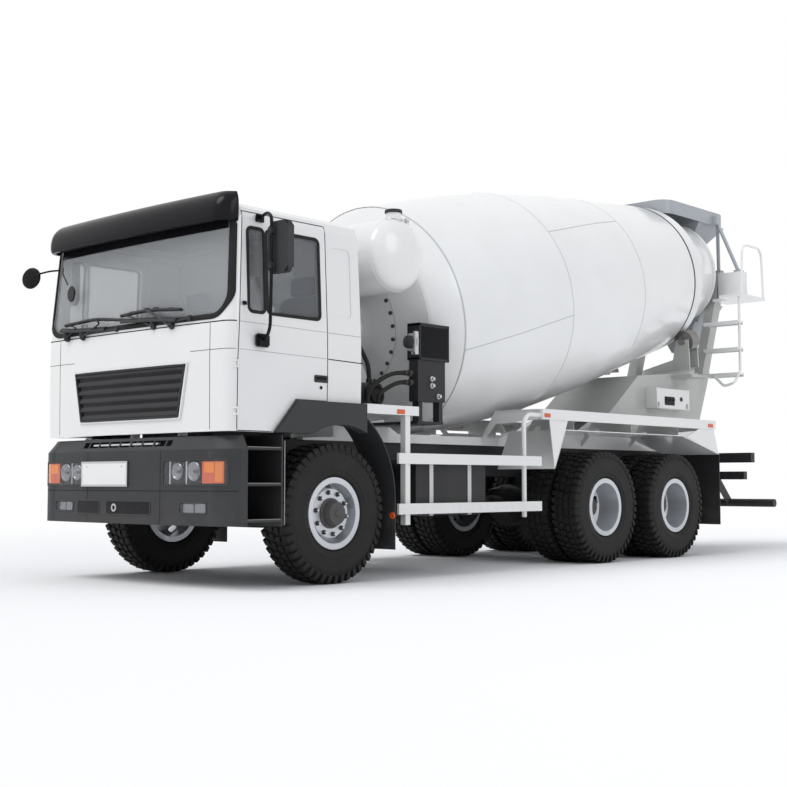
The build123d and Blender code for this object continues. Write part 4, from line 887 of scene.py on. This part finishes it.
# Mirrors: arms, clips, a rounded housing and its glass
doorMirror = {
    "housing": (1.27, 1.488, 2.365, 2.755), "glass": (1.282, 1.478, 2.378, 2.742), "arm": 0.013,
    "lower": [(1.198, -0.833, 1.87), (1.26, -0.84, 1.87), (1.33, -0.86, 1.95), (1.345, -0.865, 2.3)],
    "upper": [(1.345, -0.865, 2.3), (1.345, -0.865, 2.79), (1.28, -0.85, 2.83), (1.172, -0.83, 2.8)],
}
for side, sideName in sides:
    mirror = Form().use(glossBlack)
    for name, bend in (("lower", 0.05), ("upper", 0.04)):
        mirror.tube([at(side * x, y, z) for x, y, z in doorMirror[name]], doorMirror["arm"], bend)
    mirror.slab(side, 1.2, 1.245, -0.9, -0.775, 1.815, 1.915, 0.012)
    mirror.slab(side, 1.163, 1.185, -0.87, -0.79, 2.77, 2.83, 0.006)
    mirror.use(charcoal)
    outline = softened(corners(*doorMirror["housing"]), [0.04] * 4, 6)
    mirror.prism([at(side * x, -0.835, z) for x, z in outline], (0, 0.066, 0), 0.014)
    for z in (2.42, 2.68):
        mirror.slab(side, 1.33, 1.362, -0.885, -0.83, z - 0.025, z + 0.025, 0.006)
    mirror.use(chrome)
    outline = softened(corners(*doorMirror["glass"]), [0.03] * 4, 5)
    mirror.prism([at(side * x, -0.7692, z) for x, z in outline], (0, 0.0022, 0))
    housing = mirror.done(f"mirror_{sideName}_housing", f"door_{sideName}", "gloss_black")
    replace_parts(housing, f"mirror_{sideName}")

# Two round mirrors on the right: one on an arm at the corner, one in front of the windscreen
cornerMirror = {
    "spot": (-1.392, -1.188, 2.572), "aim": (-0.35, 0.9, -0.1),
    "arm": [(-1.165, -1.05, 2.63), (-1.23, -1.1, 2.625), (-1.33, -1.165, 2.6), (-1.385, -1.19, 2.585)],
    "back": [(-0.012, 0), (-0.012, 0.05), (-0.004, 0.085), (0.006, 0.094), (0.012, 0.094), (0.012, 0.088)],
}
screenMirror = {
    "spot": (-0.79, -1.183, 2.375), "aim": (0.15, 1, 0),
    "arm": [(-1.0, -1.12, 2.62), (-0.93, -1.17, 2.56), (-0.84, -1.18, 2.46)],
    "back": [(0, 0), (0, 0.06), (0.006, 0.068), (0.012, 0.066), (0.012, 0)],
}
spot, aim = at(*cornerMirror["spot"]), cornerMirror["aim"]
extra = Form().use(glossBlack)
extra.tube([at(*place) for place in cornerMirror["arm"]], 0.008, 0.03)
extra.spun(spot, aim, cornerMirror["back"], 36)
extra.use(chrome).spun(spot, aim, bandOf(0.0095, 0.0115, 0, 0.088), 36)
extra.use(glossBlack).tube([at(*place) for place in screenMirror["arm"]], 0.006, 0.03)
extra.spun(at(*screenMirror["spot"]), screenMirror["aim"], screenMirror["back"], 30)
extra.done("front_mirrors", "cab", "gloss_black")
print("mirrors made")

# Wipers: linkage cases, pivots on castings, arms and long blades with their clips
wiperSets = [
    {"case": [(-0.08, 2.086), (0.3, 2.07), (0.62, 2.042)], "pivots": [(0.321, 2.014), (0.546, 2.0)],
     "blade": [(-0.1, 2.135), (0.25, 2.152), (0.66, 2.122)], "end": (0.76, 2.045)},
    {"case": [(-0.93, 2.078), (-0.7, 2.06), (-0.3, 2.045)], "pivots": [(-0.86, 2.006), (-0.63, 2.0)],
     "blade": [(-0.88, 2.118), (-0.45, 2.14), (0.02, 2.09)], "end": (-0.16, 2.03)},
]
wiper = Form()
for spec in wiperSets:
    wiper.use(charcoal).tube([at(x, -1.176, z) for x, z in spec["case"]], 0.024, 0.1, 10, 0.5)
    for x, z in spec["pivots"]:
        wiper.tube([at(x, -1.176, z + 0.05), at(x, -1.178, z)], 0.019, 0, 10, 0.7)
        casting = [(-0.02, 0), (-0.02, 0.026), (0.012, 0.028), (0.028, 0.02), (0.031, 0)]
        wiper.spun(at(x, -1.155, z), (0, -1, 0.1), casting, 24)
    (x0, z0), (x1, z1), (x2, z2) = spec["blade"]
    (thinX, thinZ), (strongX, strongZ), (endX, endZ) = *spec["pivots"], spec["end"]
    arm = [at(strongX, -1.18, strongZ), at(x1 + 0.1, -1.188, z1 - 0.045), at(x1, -1.188, z1 - 0.004)]
    wiper.tube(arm, 0.012, 0.06, 8, 0.6)
    arm = [at(thinX, -1.18, thinZ), at(x0 + 0.2, -1.184, z0 - 0.035), at(x0 + 0.08, -1.184, z0 - 0.012)]
    wiper.tube(arm, 0.009, 0.06, 8, 0.6)
    wiper.tube([at(x0, -1.172, z0), at(x1, -1.177, z1), at(x2, -1.174, z2)], 0.011, 0.15, 8, 0.8)
    wiper.tube([at(strongX, -1.17, strongZ + 0.03), at(endX, -1.172, endZ)], 0.009, 0, 8)
    wiper.spun(at(endX, -1.155, endZ), (0, -1, 0), [(0, 0), (0, 0.022), (0.022, 0.02), (0.026, 0)], 20)
    strip = [at(x0 - 0.01, -1.162, z0 - 0.006), at(x1, -1.163, z1 - 0.006), at(x2 + 0.01, -1.161, z2 - 0.006)]
    wiper.use(sealRubberAndGapShade).tube(strip, 0.007, 0.15, 6, 1.6)
    wiper.use(charcoal)
    for t in (0.2, 0.45, 0.6, 0.85):
        spot = at(x0 + (x2 - x0) * t, -1.173, z0 + (z2 - z0) * t + 0.03 * (1 - abs(2 * t - 1)))
        wiper.box(spot - Vector((0.03, 0.01, 0.013)), spot + Vector((0.03, 0.008, 0.01)), 0.004)
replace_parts(wiper.done("wiper_arms", "cab", "dark_plastic"), "wipers")
print("wipers made")


# The bumper's skin: a bowed face with round corners, drawn in above its shoulder
bumper = {"nose": -1.215, "bow": 0.05, "flank": 1.0, "shoulder": 1.05, "slope": 0.55,
          "corner": 0.2282, "cornerX": 1.0353, "cornerY": -0.93955}


def bumperSkin(x, z, out=0.0):
    inset = max(0.0, z - bumper["shoulder"]) * bumper["slope"]
    flank, reach = bumper["flank"] - inset, bumper["corner"]
    if abs(x) <= flank:
        return at(x, bumper["nose"] + inset + bumper["bow"] * (x / flank) ** 2 - out, z)
    side = abs(x) - (bumper["cornerX"] - inset)
    drop = math.sqrt(max(reach ** 2 - side ** 2, 0))
    away = Vector((side / reach * math.copysign(1, x), -drop / reach, 0))
    return at(x, bumper["cornerY"] + inset - drop, z) + away * out


def roundLamp(form, skin, u, v, radius):
    spot = skin(u, v, -0.0265)
    aim = (skin(u, v, 0.01) - skin(u, v, 0.0)).normalized()
    bowl = [(0.003, 0), (0.0045, 0.4), (0.010, 0.72), (0.017, 0.9), (0.019, 0.93), (0.02, 1), (0.017, 1.06),
            (0.0, 1.06), (0.0, 0)]
    bulb = [(0.004, 0), (0.004, 0.2), (0.012, 0.18), (0.015, 0.08), (0.015, 0)]
    lens = [(0.018, 0), (0.018, 0.92), (0.0195, 0.9), (0.0225, 0.5), (0.0235, 0)]
    for material, outline, steps in ((shadedBowlChrome, bowl, 40), (iron, bulb, 20), (lampGlass, lens, 36)):
        form.use(material).spun(spot, aim, [(along, share * radius) for along, share in outline], steps)


# Patches behind the lamp covers: place on the skin, height over it, thickness, parts across and up
headWindow, fogWindow = (0.507, 1.178, 0.777, 0.973), (0.692, 0.983, 0.567, 0.653)
lampPatches = [
    (glossBlack, (0.508, 1.177, 0.778, 0.972), -0.0285, 0.002, 24, 2),
    (silver, (0.56, 0.572, 0.79, 0.962), -0.026, 0.008, 1, 2),
    (silver, (0.742, 0.754, 0.79, 0.962), -0.026, 0.008, 1, 2),
    (reflector, (0.93, 1.145, 0.795, 0.96), -0.026, 0.02, 12, 4),
    (amber, (0.955, 1.06, 0.875, 0.95), -0.008, 0.004, 8, 4),
    (amber, (1.07, 1.135, 0.805, 0.95), -0.008, 0.003, 8, 4),
    (glossBlack, fogWindow, -0.0285, 0.002, 12, 2),
    (shadedBowlChrome, (0.705, 0.83, 0.576, 0.644), -0.024, 0.006, 8, 4),
    (shadedBowlChrome, (0.842, 0.97, 0.576, 0.644), -0.024, 0.006, 8, 4),
]
covers, insides, frames = Form().use(lampGlass), Form(), Form().use(charcoal)
for side, sideName in sides:
    def skin(u, v, out=0.0, side=side):
        return bumperSkin(side * u, v, out)
    for material, place, *depths in lampPatches:
        skinPatch(insides.use(material), skin, corners(*place), *depths)
    for x, radius in ((0.655, 0.062), (0.835, 0.07)):
        roundLamp(insides, skin, x, 0.885, radius)
    for x0, x1, z0, z1 in (headWindow, fogWindow):
        skinPatch(covers, skin, corners(x0, x1, z0, z1), -0.0045, 0.0025, 24, 2)
        edge = roundedBox(x0 + 0.002, x1 - 0.002, z0 + 0.002, z1 - 0.002, 0.02, 4)
        skinHoop(frames, skin, edge, 0.014, 0.004, gap=0.05)
insides.done("lamp_insides", "chassis", "gloss_black")
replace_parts(covers.done("lamp_covers", "chassis", "lamp_glass"), "lamps")

# Bumper seams, the slots under the plate, the tow eye and the step plate on top
# The seams are dark strips, painted shade in the bumper's gaps
frames.use(sealRubberAndGapShade)
seam(frames, bumperSkin, [(-1.225, 0.738), (1.225, 0.738)], 0.007, gap=0.01)
for x in (-0.475, 0.475):
    seam(frames, bumperSkin, [(x, 0.49), (x, 1.045)], 0.006)
# Each slot is a dark patch, painted shade inside it, in a charcoal frame
for x0, x1 in ((-0.62, -0.30), (-0.20, 0.36)):
    frames.use(glossBlack)
    skinPatch(frames, bumperSkin, corners(x0, x1, 0.55, 0.66), 0.0005, 0.001, 8, 2)
    frames.use(charcoal)
    skinHoop(frames, bumperSkin, roundedBox(x0, x1, 0.55, 0.66, 0.02, 4), 0.012, 0.004, gap=0.1)
frames.use(alloy).spun(bumperSkin(-0.09, 0.605, 0.001), (0, -1, 0), bandOf(0, 0.008, 0.018, 0.032), 28)
skinPatch(frames, bumperSkin, corners(-0.45, 0.4, 1.094, 1.108), -0.03, 0.02, 12, 1)
frames.done("bumper_trim", "chassis", "dark_plastic")

# A blank plate in its holder, with two screws
plate = Form().use(white).slab(1, -0.52, 0.07, -1.2248, -1.2225, 0.785, 0.955, 0.0)
plate.use(alloy)
for x0, x1, z0, z1 in ((-0.535, 0.085, 0.77, 0.786), (-0.535, 0.085, 0.954, 0.97),
                       (-0.535, -0.519, 0.786, 0.954), (0.069, 0.085, 0.786, 0.954)):
    plate.slab(1, x0, x1, -1.2258, -1.2226, z0, z1, 0.0008)
for x in (-0.46, 0.01):
    plate.use(steel).spun(at(x, -1.2248, 0.93), (0, -1, 0), capOf(0.007, 0, 0.001, 0.006), 12)
plate.done("blank_plate", "chassis", "white_paint")
print("bumper fitted out")

# Steps: ribbed treads with a rounded nosing, upright trims and the side reflectors
step = {"heights": (0.524, 0.794, 1.064), "ribs": 13, "pitch": 0.0255}
reflectors = ((0.66, 0.755, 1.372, 1.41), (2.735, 2.83, 1.42, 1.458), (5.84, 5.95, 1.42, 1.46))
rib = Form().box((-0.105, -0.003, 0), (0.105, 0.003, 0.003), 0.001).done("rib")
treads = Form()
for side, sideName in sides:
    treads.use(steel)
    for number, z in enumerate(step["heights"]):
        treads.slab(side, 0.99, 1.216, -0.978, -0.632, z, z + 0.003, 0.001)
        treads.slab(side, 1.204, 1.2245, -0.982, -0.629, z - 0.018, z + 0.005, 0.004)
        grown(f"step_ribs_{sideName}_{number}", rowTree, {
            "Part": rib, "Count": step["ribs"], "First": at(side * 1.1, -0.955, z + 0.003),
            "Step": (0, step["pitch"], 0), "Narrowing": 0.0, "Finish": steel}, "chassis", "wheel_silver")
    for y in (-0.6265, -0.60):
        treads.tube([at(side * 1.214, y, 0.48), at(side * 1.214, y, 1.12)], 0.006, sides=8)
    treads.use(reflector)
    for place in reflectors:
        treads.slab(side, 1.2245, 1.231, *place, 0.004)
    treads.spun(at(side * 1.2, 0.6285, 0.53), (0, -1, 0), capOf(0.03, 0, 0.008, 0.026), 20)
treads.done("step_treads", "chassis", "wheel_silver")
dropped(rib)
print("steps made")

# Water tank: a smooth lathe with dished ends, weld seams, a filler and two straps
tank = {"y": 0.86, "z": 2.755, "r": 0.318, "end": 1.16, "dish": 0.15, "fillerX": 1.0, "parts": 12}


def atTank(x, y=0.0, z=0.0):
    return at(x, tank["y"] + y, tank["z"] + z)


turns = [math.radians(90 * i / tank["parts"]) for i in range(tank["parts"] + 1)]
dome = [(tank["end"] - tank["dish"] * (1 - math.sin(turn)), tank["r"] * math.cos(turn)) for turn in turns]
vessel = Form().use(white)
vessel.spun(atTank(0), (1, 0, 0), [(-x, r) for x, r in reversed(dome)] + dome, 72, closed=False)
weld = [(-0.006, 0.316), (-0.004, 0.3208), (0.004, 0.3208), (0.006, 0.316)]
for x in (-1.01, -0.34, 0.34, 1.01):
    vessel.spun(atTank(x), (1, 0, 0), weld, 72)
vessel.spun(atTank(tank["fillerX"], 0, 0.2), (0, 0, 1), bandOf(0, 0.163, 0, 0.066), 32)
collar = [(0, 0.06), (0, 0.084), (0.01, 0.082), (0.012, 0.06)]
vessel.spun(atTank(tank["fillerX"], 0, 0.306), (0, 0, 1), collar, 32)
lid = [(0, 0), (0, 0.076), (0.022, 0.077), (0.03, 0.07), (0.032, 0)]
vessel.use(charcoal).spun(atTank(tank["fillerX"], 0, 0.363), (0, 0, 1), lid, 32)
valve = [(0, 0), (0, 0.018), (0.07, 0.018), (0.075, 0.025), (0.1, 0.025), (0.105, 0)]
vessel.use(alloy).spun(atTank(tank["fillerX"], 0.17, 0.24), (0, 0, 1), valve, 16)
for x in (-0.415, 0.415):
    vessel.use(black).spun(atTank(x), (1, 0, 0), bandOf(-0.03, 0.03, 0.317, 0.3215), 72)
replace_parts(vessel.done("tank_skin", "chassis", "white_paint"), "water_tank")
print("tank made")

# Drum: a fine lathe with eased edges, weld beads, the head plate, the track, a lip and blades in the mouth.
# Its rows are places along the axis and radii.
drum = {
    "slope": math.radians(11.5), "foot": (0, 1.699, 2.325), "steps": 128,
    "outer": [(-0.478, 0.27), (-0.43, 0.33), (-0.39, 0.62), (-0.3, 0.935), (0.0, 1.105), (0.82, 1.155),
              (1.638, 1.17), (2.7, 1.1), (4.56, 0.905), (4.6, 0.84), (4.79, 0.835), (5.53, 0.6185)],
    "inner": [(5.53, 0.61), (4.79, 0.82), (4.62, 0.826), (2.7, 1.09), (1.638, 1.16), (0.0, 1.095),
              (-0.3, 0.925), (-0.37, 0.61), (-0.37, 0.0002), (-0.478, 0.0002)],
    "seams": ((0.0, 1.105), (1.638, 1.17), (3.2, 1.0485)),
}
beads = {"starts": (-0.31, 1.78, 3.88), "onward": 0.9, "sweep": 0.14, "parts": 24, "radius": 0.006}
blades = {"starts": (0, math.pi), "from": 4.85, "length": 0.62, "sweep": 2.6 * math.pi, "parts": 48,
          "deep": 0.24}
drumAxis, drumFoot = Vector((0, math.cos(drum["slope"]), math.sin(drum["slope"]))), at(*drum["foot"])


def drumSpot(along, out, turn):
    rise = math.sin(turn)
    spoke = Vector((math.cos(turn), -math.sin(drum["slope"]) * rise, math.cos(drum["slope"]) * rise))
    return drumFoot + drumAxis * along + spoke * out


def drumRadius(along):
    for (start, low), (end, high) in zip(drum["outer"], drum["outer"][1:]):
        if along <= end:
            return low + (high - low) * (along - start) / (end - start)


def aboutDrum(form, outline, steps=drum["steps"]):
    return form.spun(drumFoot, drumAxis, outline, steps)


def eased(rows, reach=0.035):
    points = [Vector(row) for row in rows]
    route = [points[0]]
    for before, here, after in zip(points, points[1:], points[2:]):
        back, ahead = before - here, after - here
        first = here + back.normalized() * min(reach, back.length * 0.4)
        last = here + ahead.normalized() * min(reach, ahead.length * 0.4)
        route.extend((first, (first + here * 2 + last) / 4, last))
    return [tuple(point) for point in route + [points[-1]]]


barrel = aboutDrum(Form().use(drumWhite), eased(drum["outer"]) + drum["inner"])
# The weld rings and beads are coloured grey, painted shade along them
barrel.use(weldBeadShade)
for along, out in drum["seams"]:
    section = ((-0.009, -0.004), (-0.005, 0.001), (0.005, 0.001), (0.009, -0.004))
    aboutDrum(barrel, [(along + shift, out + rise) for shift, rise in section])
for (start, _), (end, _) in zip(drum["seams"], drum["seams"][1:]):
    for first in beads["starts"]:
        turn = first + (beads["onward"] if start else 0)
        route = []
        for i in range(beads["parts"] + 1):
            t = i / beads["parts"]
            along = start + (end - start) * t
            route.append(drumSpot(along, drumRadius(along) - 0.002, turn + beads["sweep"] * t))
        barrel.tube(route, beads["radius"], sides=6)
# A dark iron ring at the drum's shoulder by the track: painted shade in the groove there
aboutDrum(barrel.use(iron), [(4.546, 0.9), (4.546, 0.9085), (4.564, 0.9065), (4.564, 0.897)])
aboutDrum(barrel.use(grimyPaint), bandOf(-0.3925, -0.389, 0.3, 0.605), 96)
lip = [(5.52, 0.615), (5.522, 0.637), (5.532, 0.6395), (5.556, 0.6395), (5.56, 0.635), (5.56, 0.611)]
aboutDrum(barrel.use(drumWhite), lip, 96)
for start in blades["starts"]:
    rings = []
    for i in range(blades["parts"] + 1):
        t = i / blades["parts"]
        along, turn = blades["from"] + blades["length"] * t, start + blades["sweep"] * t
        out = 0.818 - 0.205 * (along - 4.79) / 0.74
        section = ((0, out), (0.008, out), (0.03, out - blades["deep"]), (0.022, out - blades["deep"]))
        rings.append([drumSpot(along + shift, reach, turn) for shift, reach in section])
    barrel.rings(rings)
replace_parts(barrel.done("drum_skin", "drum", "drum_paint", 25), "drum")
rail = [(4.606, 0.843), (4.606, 0.872), (4.612, 0.8795), (4.778, 0.8795), (4.784, 0.872), (4.784, 0.843)]
track = aboutDrum(Form().use(drumWhite), rail)
# Dark iron bands at the track's edges: painted shade in the gaps beside it
for along in (4.598, 4.786):
    aboutDrum(track.use(iron), bandOf(along, along + 0.007, 0.838, 0.856), 96)
track.done("drum_track", "drum", "ring_steel")
print("drum made")


# A ring of bolts round the drum's axis
def bolted(name, body, circle, cap, count, start, along):
    bolt = Form().spun((0, 0, circle), (1, 0, 0), capOf(*cap), 6).done("bolt")
    grown(name, ringTree, {
        "Part": bolt, "Count": count, "Start": start, "Centre": drumFoot + drumAxis * along,
        "Aim": (0, drum["slope"], -math.pi / 2), "Finish": iron}, body, "cast_metal")
    dropped(bolt)


# Gearbox: its bolts, flanges and ribs, and then the bolts of the drum's head
bolted("gearbox_bolts", "chassis", 0.262, (0.013, 0.012, 0.014, 0.01), 20, 0.1, -0.62)
casing = aboutDrum(Form().use(iron), bandOf(-0.56, -0.545, 0.262, 0.283), 72)
aboutDrum(casing, bandOf(-1.262, -1.19, 0.03, 0.098), 40)
casing.use(white)
ribs = {"count": 8, "route": ((-1.1, 0.155), (-0.93, 0.252), (-0.66, 0.264)), "radius": 0.01}
for k in range(ribs["count"]):
    turn = 2 * math.pi * k / ribs["count"]
    casing.tube([drumSpot(along, out, turn) for along, out in ribs["route"]], ribs["radius"], sides=6)
casing.done("gearbox_trim", "chassis", "cast_metal")
bolted("drum_head_bolts", "drum", 0.578, (0.019, 0.016, 0.018, 0.014), 30, 0.05, -0.393)
print("gearbox fitted out")

# Oil cooler: a frame round its fins, its fan and fittings, and the filter
cooler = Form().use(black)
for y0, y1, z0, z1 in ((1.034, 1.062, 1.86, 2.174), (1.414, 1.44, 1.86, 2.174),
                       (1.034, 1.44, 2.15, 2.178), (1.034, 1.44, 1.857, 1.88)):
    cooler.slab(1, 1.0, 1.14, y0, y1, z0, z1, 0.004)
fan = [(-0.03, 0), (-0.03, 0.056), (0.045, 0.056), (0.055, 0.04), (0.06, 0.0)]
cooler.use(charcoal).spun(at(1.07, 1.01, 2.01), (0, -1, 0), fan, 32)
guard = [(0, 0.056), (0, 0.078), (0.014, 0.078), (0.018, 0.056)]
cooler.use(alloy).spun(at(1.07, 1.02, 2.01), (0, -1, 0), guard, 36)
cooler.slab(1, 1.09, 1.135, 0.985, 1.04, 1.90, 1.925, 0.004)
cooler.slab(1, 1.112, 1.136, 0.985, 1.035, 1.9, 2.1, 0.004)
plug = [(0, 0), (0, 0.024), (0.012, 0.024), (0.014, 0.015), (0.035, 0.015), (0.038, 0)]
for y, z in ((1.214, 1.64), (1.214, 1.70), (1.30, 1.55)):
    cooler.spun(at(1.123, y, z), (1, 0, 0), plug, 16)
cooler.use(iron)
for name in ("upper_hose", "lower_hose"):
    x, _, z = hoses[name]["route"][-1]
    cooler.spun(at(x, 1.012, z), (0, -1, 0), bandOf(0, 0.028, 0.018, 0.031), 6)
    cooler.spun(at(x, 0.95, z), (0, -1, 0), bandOf(0, 0.016, 0.018, 0.0225), 20)
cooler.use(glossBlack)
for x in (0.76, 0.88):
    cooler.spun(at(x, 0.745, 1.552), (1, 0, 0), bandOf(-0.008, 0.008, 0.09, 0.1105), 40)
end = [(0, 0), (0, 0.085), (0.018, 0.07), (0.022, 0.02), (0.022, 0)]
cooler.spun(at(0.9, 0.745, 1.552), (1, 0, 0), end, 36)
cooler.done("cooler_trim", "chassis", "black_frame")
fin = Form().box((-0.004, -0.0015, -0.135), (0.006, 0.0015, 0.135), 0).done("fin")
grown("cooler_fins", rowTree, {
    "Part": fin, "Count": 34, "First": at(1.131, 1.068, 2.015), "Step": (0, 0.0103, 0), "Narrowing": 0.0,
    "Finish": black}, "chassis", "black_frame")
dropped(fin)
print("cooler fitted out")

# Fuel tank straps and cap on the left, air tank bands and the battery box on the right
flank = Form().use(alloy)
for y in (1.2, 1.72):
    for x0, x1, z0, z1 in ((1.13, 1.134, 0.518, 1.012), (0.5, 1.134, 1.01, 1.014), (0.5, 1.134, 0.516, 0.52)):
        flank.slab(1, x0, x1, y - 0.025, y + 0.025, z0, z1, 0.0)
cap = [(0, 0), (0, 0.05), (0.03, 0.05), (0.032, 0.058), (0.05, 0.056), (0.052, 0)]
flank.use(black).spun(at(1.02, 1.45, 1.005), (0, 0, 1), cap, 28)
flank.use(steel)
for z in (0.64, 0.9):
    for y in (1.1, 1.55):
        flank.spun(at(-0.62, y, z), (0, 1, 0), bandOf(-0.02, 0.02, 0.124, 0.1275), 40)
flank.use(charcoal).slab(-1, 0.555, 1.156, 1.944, 2.506, 1.03, 1.058, 0.006)
flank.use(alloy)
for y in (2.08, 2.37):
    flank.slab(-1, 1.15, 1.162, y - 0.02, y + 0.02, 0.93, 1.04, 0.003)
flank.done("frame_fittings", "chassis", "wheel_silver")

# Tail: control box with its switches and catches, lamps and the pans of the ladder's treads
tail = Form().use(white).slab(1, 0.476, 0.6225, 5.754, 6.498, 1.655, 1.895, 0.006)
tail.use(glossBlack).slab(1, 0.621, 0.628, 5.93, 6.15, 1.70, 1.80, 0.003)
tail.use(charcoal)
switch = [(0, 0), (0, 0.014), (0.012, 0.012), (0.03, 0.006), (0.03, 0)]
for y in (5.97, 6.04, 6.11):
    tail.spun(at(0.626, y, 1.765), (1, 0, 0), switch, 16)
tail.spun(at(0.62, 6.30, 1.78), (1, 0, 0), capOf(0.026, 0.01, 0.014, 0.02), 24)
tail.use(alloy)
for y in (5.80, 6.44):
    tail.slab(1, 0.62, 0.63, y - 0.016, y + 0.016, 1.675, 1.73, 0.003)
    tail.tube([at(0.632, y, 1.72), at(0.636, y - 0.02, 1.70), at(0.636, y - 0.02, 1.665)], 0.004, 0.01, 6)
for side, sideName in sides:
    for x, colour in ((0.74, redLens), (0.86, reflector), (0.98, redLens)):
        tail.use(glossBlack).slab(side, x - 0.056, x + 0.056, 7.172, 7.186, 1.05, 1.152, 0.006)
        tail.use(colour).slab(side, x - 0.05, x + 0.05, 7.184, 7.205, 1.056, 1.146, 0.01)
tail.use(white)
for z in (2.74, 2.415, 2.11):
    for y in (6.983, 7.106):
        tail.slab(1, 0.556, 1.012, y, y + 0.006, z - 0.034, z + 0.0135, 0.001)
    for k in range(5):
        tail.slab(1, 0.57, 0.98, 7.0 + 0.023 * k, 7.006 + 0.023 * k, z + 0.0115, z + 0.0155, 0.001)
tail.done("tail_fittings", "chassis", "black_frame")
print("tail fitted out")


# Seats: puffed pads on their stands; a pad is a box with soft faces, squarer as its power falls
def pad(form, centre, size, lean=0.0, square=0.32, rows=12, around=36):
    def power(value):
        return math.copysign(abs(value) ** square, value)
    turn = Matrix.Rotation(lean, 4, "X")
    rings = []
    for j in range(1, rows):
        rise = -math.pi / 2 + math.pi * j / rows
        ring = []
        for i in range(around):
            spin = 2 * math.pi * i / around
            flat = power(math.cos(rise))
            soft = (flat * power(math.cos(spin)), flat * power(math.sin(spin)), power(math.sin(rise)))
            ring.append(centre + turn @ Vector([share * reach / 2 for share, reach in zip(soft, size)]))
        rings.append(ring)
    form.rings(rings)


seatX = 0.69
for side, sideName in sides:
    seat = Form().use(seatFabric)
    pad(seat, at(side * seatX, -0.32, 1.682), (0.47, 0.47, 0.115))
    pad(seat, at(side * seatX, 0.03, 2.0), (0.47, 0.105, 0.68), -0.135)
    pad(seat, at(side * seatX, 0.095, 2.423), (0.27, 0.078, 0.152))
    seat.done(f"seat_{sideName}_pads", "cab", "seat_fabric", 60)
stand = Form().use(charcoal)
for side, sideName in sides:
    stand.slab(side, 0.51, 0.87, -0.5, -0.12, 1.341, 1.5, 0.01)
    stand.slab(side, 0.49, 0.89, -0.53, -0.1, 1.5, 1.626, 0.02)
    for x in (0.64, 0.74):
        stand.tube([at(side * x, 0.078, 2.3), at(side * x, 0.09, 2.36)], 0.008, sides=8)
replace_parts(stand.done("seat_stands", "cab", "seat_fabric"), "seats")
print("seats made")
